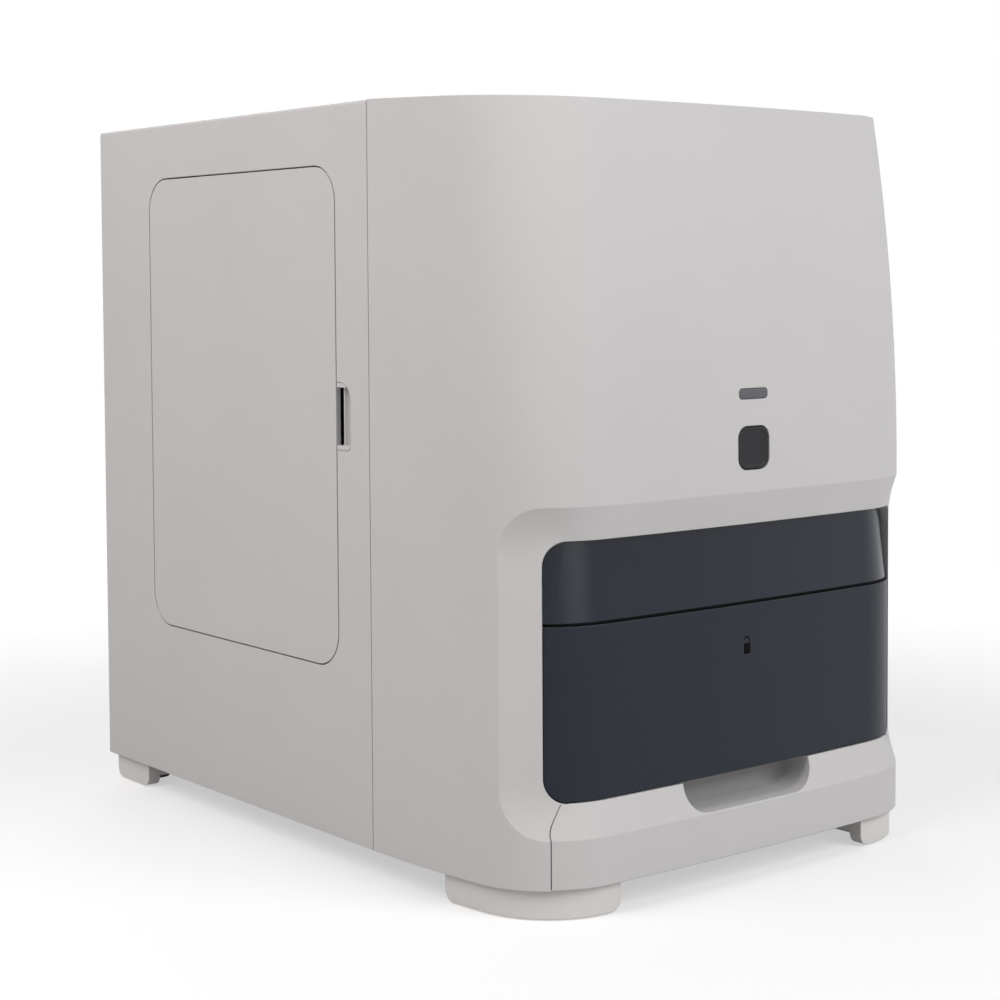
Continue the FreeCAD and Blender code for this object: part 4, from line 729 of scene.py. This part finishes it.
@dataclass
class PanScrews:
    """Pan head screws with a cross recess, of the rear panel and of the fan."""

    dresser: Dresser
    face: float = 174.0 * MM
    head_radius: float = 3.2 * MM
    head_height: float = 1.6 * MM
    head_corners: int = 32
    dome: float = 0.7 * MM
    dome_segments: int = 4
    recess_width: float = 0.8 * MM
    recess_length: float = 3.6 * MM
    recess_depth: float = 0.9 * MM
    recess_taper: float = 0.6
    panel_x: float = 115.5 * MM
    panel_heights: tuple[float, ...] = (27.0 * MM, 177.25 * MM, 327.5 * MM)
    fan_lift: float = 0.4 * MM
    smooth_angle: float = 35.0

    def head(self) -> bpy.types.Object:
        """One domed head that faces +Y, with the cross cut into it.

        Returns:
            The head, with its seat at the origin.
        """
        bpy.ops.object.select_all(action="DESELECT")
        bpy.ops.mesh.primitive_cylinder_add(vertices=self.head_corners, radius=self.head_radius,
                                            depth=self.head_height, location=(0, self.head_height / 2, 0),
                                            rotation=(math.radians(-90), 0, 0))
        head = Bench.settle(bpy.context.active_object, "screw_head")
        Bench.pick(head, lambda face: face.normal.y > SQUARE_ON)
        with Bench.editing(head):
            bpy.ops.mesh.bevel(offset=self.dome, segments=self.dome_segments, affect="EDGES")
        taper = (self.recess_taper, 1.0, self.recess_taper)
        slit = (self.recess_width, self.recess_length)
        for across, along in (slit, slit[::-1]):
            cutter = Bench.block((across, 2 * self.recess_depth, along), (0, self.head_height, 0), "cutter")
            Bench.pick(cutter, lambda face: face.normal.y < -SQUARE_ON)
            with Bench.editing(cutter):
                bpy.ops.transform.resize(value=taper, center_override=(0, 0, 0))
            Bench.cut(head, cutter)
        Bench.smooth(head, self.smooth_angle)
        return head

    def places(self) -> list[Triple]:
        """Seats of the ten screws: six in the panel and four in the fan's corners.

        Returns:
            The middles of their seats.
        """
        seats = [(x, self.face, z) for x in (-self.panel_x, self.panel_x) for z in self.panel_heights]
        reach = FAN_PITCH / 2
        for x in (-reach, reach):
            for z in (-reach, reach):
                seats.append((FAN_X + x, self.face + self.fan_lift, FAN_Z + z))
        return seats

    def build(self) -> None:
        """Build all the screws as one piece."""
        head = self.head()
        screws = Bench.join([Bench.copy_to(head, place) for place in self.places()], "rear_panel_screws")
        bpy.data.objects.remove(head, do_unlink=True)
        self.dresser.finish(screws, "root", "bright_steel", "panel_screws")


@dataclass
class WireGuard:
    """Round wire guard of the fan: rings on two crossed bars that end in eyes for the screws."""

    dresser: Dresser
    centre: Triple = (FAN_X, 174.45 * MM, FAN_Z)
    wire: float = 0.45 * MM
    wire_corners: int = 10
    ring_lift: float = 0.85 * MM
    ring_radii: tuple[float, ...] = (9.0 * MM, 16.5 * MM, 24.0 * MM, 31.5 * MM, 39.0 * MM)
    eye_radius: float = 2.6 * MM
    eye_steps: int = 28
    bar_angle: float = 45.0
    smooth_angle: float = 40.0

    def build(self) -> None:
        """Build the guard as one piece."""
        x, y, z = self.centre
        wires = []
        for radius in self.ring_radii:
            ring = Bench.ring(radius, self.wire, self.wire_corners)
            ring.location = (x, y + self.ring_lift, z)
            wires.append(ring)
        reach = FAN_PITCH / 2
        for side in (-1, 1):
            bpy.ops.object.select_all(action="DESELECT")
            bpy.ops.mesh.primitive_cylinder_add(vertices=self.wire_corners, radius=self.wire,
                                                depth=2 * (math.hypot(reach, reach) - self.eye_radius),
                                                location=self.centre,
                                                rotation=(0, side * math.radians(self.bar_angle), 0))
            wires.append(bpy.context.active_object)
            for end in (-1, 1):
                eye = Bench.ring(self.eye_radius, self.wire, self.wire_corners, self.eye_steps)
                eye.location = (x + side * end * reach, y, z + end * reach)
                wires.append(eye)
        guard = Bench.join(wires, "fan_wire_guard")
        Bench.smooth(guard, self.smooth_angle)
        self.dresser.finish(guard, "root", "bright_steel", "fan_guard")


@dataclass
class RearDetails:
    """Contacts of the network socket, marks on the power rocker and the bare rating plate."""

    dresser: Dresser
    contact_count: int = 8
    contact_pitch: float = 1.2 * MM
    contact_size: Triple = (0.5 * MM, 9.0 * MM, 0.3 * MM)
    contact_centre: Triple = (-12.0 * MM, 168.0 * MM, 56.4 * MM)
    contact_drop: float = 3.2 * MM
    rocker_x: float = -44.0 * MM
    rocker_z: float = 53.0 * MM
    rocker_face: float = 172.3 * MM
    rocker_slope: float = 9.29
    rocker_reach: float = 8.6 * MM
    mark_height: float = 4.9 * MM
    mark_thickness: float = 0.16 * MM
    line_width: float = 0.8 * MM
    line_length: float = 3.8 * MM
    circle_radius: float = 1.7 * MM
    circle_wire: float = 0.4 * MM
    circle_corners: int = 4
    circle_steps: int = 40
    plate_size: Triple = (58.0 * MM, 0.4 * MM, 30.0 * MM)
    plate_centre: Triple = (40.0 * MM, 174.2 * MM, 252.0 * MM)
    plate_corner: float = 2.0 * MM
    plate_corner_segments: int = 5
    plate_border: float = 1.6 * MM

    def contacts(self) -> None:
        """Row of gilt springs that slant down into the network socket."""
        x, y, z = self.contact_centre
        spring = Bench.block(self.contact_size, (0, 0, 0), "spring")
        Bench.pick(spring, lambda face: face.normal.y < -SQUARE_ON)
        with Bench.editing(spring):
            bpy.ops.transform.translate(value=(0, 0, -self.contact_drop))
        Bench.modify(spring, "BEVEL", width=self.contact_size[2] / 4, segments=EDGE_SEGMENTS)
        start = x - (self.contact_count - 1) * self.contact_pitch / 2
        row = [Bench.copy_to(spring, (start + step * self.contact_pitch, y, z))
               for step in range(self.contact_count)]
        bpy.data.objects.remove(spring, do_unlink=True)
        self.dresser.finish(Bench.join(row, "network_contacts"), "root", "brass_gear")

    def on_slope(self, side: int) -> tuple[Triple, float]:
        """Where a mark lies on the rocker, whose two slopes meet in a valley.

        Args:
            side: 1 for the upper slope, -1 for the lower one.

        Returns:
            The middle of the mark and its tilt about X.
        """
        rise = math.tan(math.radians(self.rocker_slope))
        valley = self.rocker_face - self.rocker_reach * rise
        place = (self.rocker_x, valley + self.mark_height * rise, self.rocker_z + side * self.mark_height)
        return place, -side * math.radians(self.rocker_slope)

    def marks(self) -> None:
        """Printed line and circle for on and off."""
        place, tilt = self.on_slope(1)
        line = Bench.block((self.line_width, self.mark_thickness, self.line_length), (0, 0, 0), "line")
        Bench.modify(line, "BEVEL", width=self.mark_thickness / 3, segments=EDGE_SEGMENTS)
        line.location, line.rotation_euler = place, (tilt, 0, 0)
        place, tilt = self.on_slope(-1)
        circle = Bench.ring(self.circle_radius, self.circle_wire, self.circle_corners, self.circle_steps)
        circle.scale = (1.0, self.mark_thickness / (2 * self.circle_wire) * math.sqrt(2), 1.0)
        circle.location, circle.rotation_euler = place, (tilt, 0, 0)
        marks = Bench.join([Bench.settle(line, "line"), Bench.settle(circle, "circle")], "rocker_marks")
        self.dresser.finish(marks, "rocker", "white_nylon")

    def plate(self) -> None:
        """Bare rating plate with a raised border."""
        plate = Bench.block(self.plate_size, self.plate_centre, "rating_plate")
        with Bench.editing(plate):
            bpy.ops.mesh.select_all(action="DESELECT")
        for edge in plate.data.edges:
            a, b = (plate.data.vertices[point].co for point in edge.vertices)
            edge.select = abs(a.y - b.y) > self.plate_size[1] / 2
            for point in edge.vertices if edge.select else ():
                plate.data.vertices[point].select = True
        with Bench.editing(plate):
            bpy.ops.mesh.select_mode(type="EDGE")
            bpy.ops.mesh.bevel(offset=self.plate_corner, segments=self.plate_corner_segments, affect="EDGES")
            bpy.ops.mesh.select_mode(type="FACE")
        Bench.pick(plate, lambda face: face.normal.y > SQUARE_ON)
        with Bench.editing(plate):
            bpy.ops.mesh.inset(thickness=self.plate_border, depth=-self.plate_size[1] / 3)
            bpy.ops.mesh.select_mode(type="VERT")
        Bench.smooth(plate)
        self.dresser.finish(plate, "root", "bright_steel")

    def build(self) -> None:
        """Build the details."""
        self.contacts()
        self.marks()
        self.plate()


@dataclass(frozen=True)
class Softbox:
    """A square lamp: where it stands, its power, its side in metres and its tint."""

    name: str
    place: Triple
    watts: float
    size: float
    tint: Colour


SOFTBOXES = (
    Softbox("front_softbox", (0.5, -1.6, 1.2), 21.6, 1.0, WHITE),
    Softbox("low_front_softbox", (-0.1, -1.9, 0.5), 3.1, 1.0, WHITE),
    Softbox("near_left_softbox", (-0.85, -0.05, 1.0), 8.0, 0.8, WARM_WHITE),
    Softbox("far_left_softbox", (-1.6, 0.0, 0.9), 3.3, 1.0, WARM_WHITE),
    Softbox("rear_softbox", (0.9, 1.7, 0.55), 13.0, 1.0, WHITE),
)


@dataclass
class Studio:
    """Pale floor, white background, soft lamps and the camera of the photograph."""

    camera_place: Triple = (-0.63248, -0.7923, 0.26357)
    yaw: float = 38.61
    pitch: float = 2.85
    roll: float = 0.352
    focal_pixels: float = 2028.8
    frame_pixels: float = 1000.0
    sensor: float = 36.0
    shift_down: float = -0.12
    view_depth: float = 50.0
    floor_size: float = 6.0
    floor_tone: float = 0.93
    floor_spread: float = 0.01
    floor_cells: float = 300.0
    floor_roughness: float = 0.9
    floor_specular: float = 0.1
    near_glow: float = 0.5
    glow_span: tuple[float, float] = (0.30, 0.62)
    bounce_tone: float = 0.5
    sky: float = 0.24
    aim: Triple = (0.0, 0.0, 0.17)

    def camera(self) -> None:
        """Place the camera where the photograph was taken."""
        data = bpy.data.cameras.new("photo_camera")
        data.sensor_width = self.sensor
        data.lens = self.focal_pixels * self.sensor / self.frame_pixels
        data.shift_y = self.shift_down
        data.clip_end = self.view_depth
        camera = bpy.data.objects.new("photo_camera", data)
        camera.location = self.camera_place
        turn = (90 - self.pitch, self.roll, -self.yaw)
        camera.rotation_euler = tuple(math.radians(angle) for angle in turn)
        bpy.context.scene.collection.objects.link(camera)
        bpy.context.scene.camera = camera

    @staticmethod
    def seen(tree: bpy.types.NodeTree) -> bpy.types.Node:
        """Share that is 1 for what the camera sees, straight or by way of a mirror or a window.

        Args:
            tree: Node tree of the floor or the world.

        Returns:
            The Math node that holds the share.
        """
        path = tree.nodes.new("ShaderNodeLightPath")
        share = path.outputs["Is Camera Ray"]
        for kind in ("Is Glossy Ray", "Is Transmission Ray"):
            either = tree.nodes.new("ShaderNodeMath")
            either.operation = "MAXIMUM"
            tree.links.new(share, either.inputs[0])
            tree.links.new(path.outputs[kind], either.inputs[1])
            share = either.outputs["Value"]
        return either

    def world(self) -> None:
        """Even soft light from all round, which the camera and mirrors see as white."""
        world = bpy.data.worlds.new("studio_world")
        bpy.context.scene.world = world
        world.use_nodes = True
        tree = world.node_tree
        tree.nodes.clear()
        mix = tree.nodes.new("ShaderNodeMixShader")
        tree.links.new(self.seen(tree).outputs["Value"], mix.inputs["Fac"])
        for entry, strength in enumerate((self.sky, 1.0), start=1):
            light = tree.nodes.new("ShaderNodeBackground")
            light.inputs["Color"].default_value = (*WHITE, 1.0)
            light.inputs["Strength"].default_value = strength
            tree.links.new(light.outputs["Background"], mix.inputs[entry])
        output = tree.nodes.new("ShaderNodeOutputWorld")
        tree.links.new(mix.outputs["Shader"], output.inputs["Surface"])

    def floor(self) -> None:
        """Large pale floor that takes the shadow, is white away from the object and gives little light back.

        The camera and mirrors see paper that glows fully at a distance and partly near the object, and all
        other rays meet a plain grey.
        """
        bpy.ops.object.select_all(action="DESELECT")
        bpy.ops.mesh.primitive_plane_add(size=self.floor_size, location=(0, 0, 0))
        floor = Bench.settle(bpy.context.active_object, "studio_floor")
        sketch = Sketch("studio_floor_paper")
        place = sketch.place()
        grain = sketch.remap(sketch.noise(place, self.floor_cells), "Fac", 0.0, 1.0)
        darker, lighter = ((tone,) * 3 for tone in (self.floor_tone, self.floor_tone + self.floor_spread))
        tone = sketch.blend(grain, "Result", darker, lighter)
        sketch.join(tone, "Color", sketch.shader, "Base Color")
        sketch.shader.inputs["Roughness"].default_value = self.floor_roughness
        sketch.shader.inputs["Specular IOR Level"].default_value = self.floor_specular
        glow = sketch.add("ShaderNodeEmission", Strength=1.0)
        distance = sketch.add("ShaderNodeVectorMath", operation="LENGTH")
        sketch.join(place, "Vector", distance, 0)
        far = sketch.remap(distance, "Value", self.near_glow, 1.0, self.glow_span)
        paper = sketch.add("ShaderNodeMixShader")
        sketch.join(far, "Result", paper, "Fac")
        sketch.join(sketch.shader, "BSDF", paper, 1)
        sketch.join(glow, "Emission", paper, 2)
        bounce = sketch.add("ShaderNodeBsdfDiffuse")
        bounce.inputs["Color"].default_value = (*(self.bounce_tone,) * 3, 1.0)
        mix = sketch.add("ShaderNodeMixShader")
        sketch.join(self.seen(sketch.tree), "Value", mix, "Fac")
        sketch.join(bounce, "BSDF", mix, 1)
        sketch.join(paper, "Shader", mix, 2)
        output = next(node for node in sketch.tree.nodes if node.bl_idname == "ShaderNodeOutputMaterial")
        sketch.join(mix, "Shader", output, "Surface")
        floor.data.materials.append(sketch.material)

    def lamp(self, softbox: Softbox) -> None:
        """Add a square area lamp that points at the object.

        Args:
            softbox: What it is like.
        """
        data = bpy.data.lights.new(softbox.name, "AREA")
        data.energy = softbox.watts
        data.size = softbox.size
        data.color = softbox.tint
        lamp = bpy.data.objects.new(softbox.name, data)
        lamp.location = softbox.place
        aim = Vector(self.aim) - lamp.location
        lamp.rotation_euler = aim.to_track_quat("-Z", "Y").to_euler()
        bpy.context.scene.collection.objects.link(lamp)

    def build(self) -> None:
        """Set up the whole studio."""
        bpy.context.scene.view_settings.view_transform = "Standard"
        self.camera()
        self.world()
        self.floor()
        for softbox in SOFTBOXES:
            self.lamp(softbox)


def main() -> None:
    """Dress the analyzer and set up the studio."""
    logging.basicConfig(level=logging.INFO, format="%(name)s: %(message)s")
    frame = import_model()
    Studio().build()
    materials = {slot: finish.build() for slot, finish in FINISHES.items()}
    dresser = Dresser(frame, materials)
    for node in frame["nodes"]:
        dresser.paint(node, OWN_LOOKS.get(node))
    for node, rim in RIMS.items():
        dresser.add_rim(node, rim)
    for fitting in (SeamShadeStrips(dresser), PanScrews(dresser), WireGuard(dresser), RearDetails(dresser)):
        fitting.build()


if __name__ == "__main__":
    main()
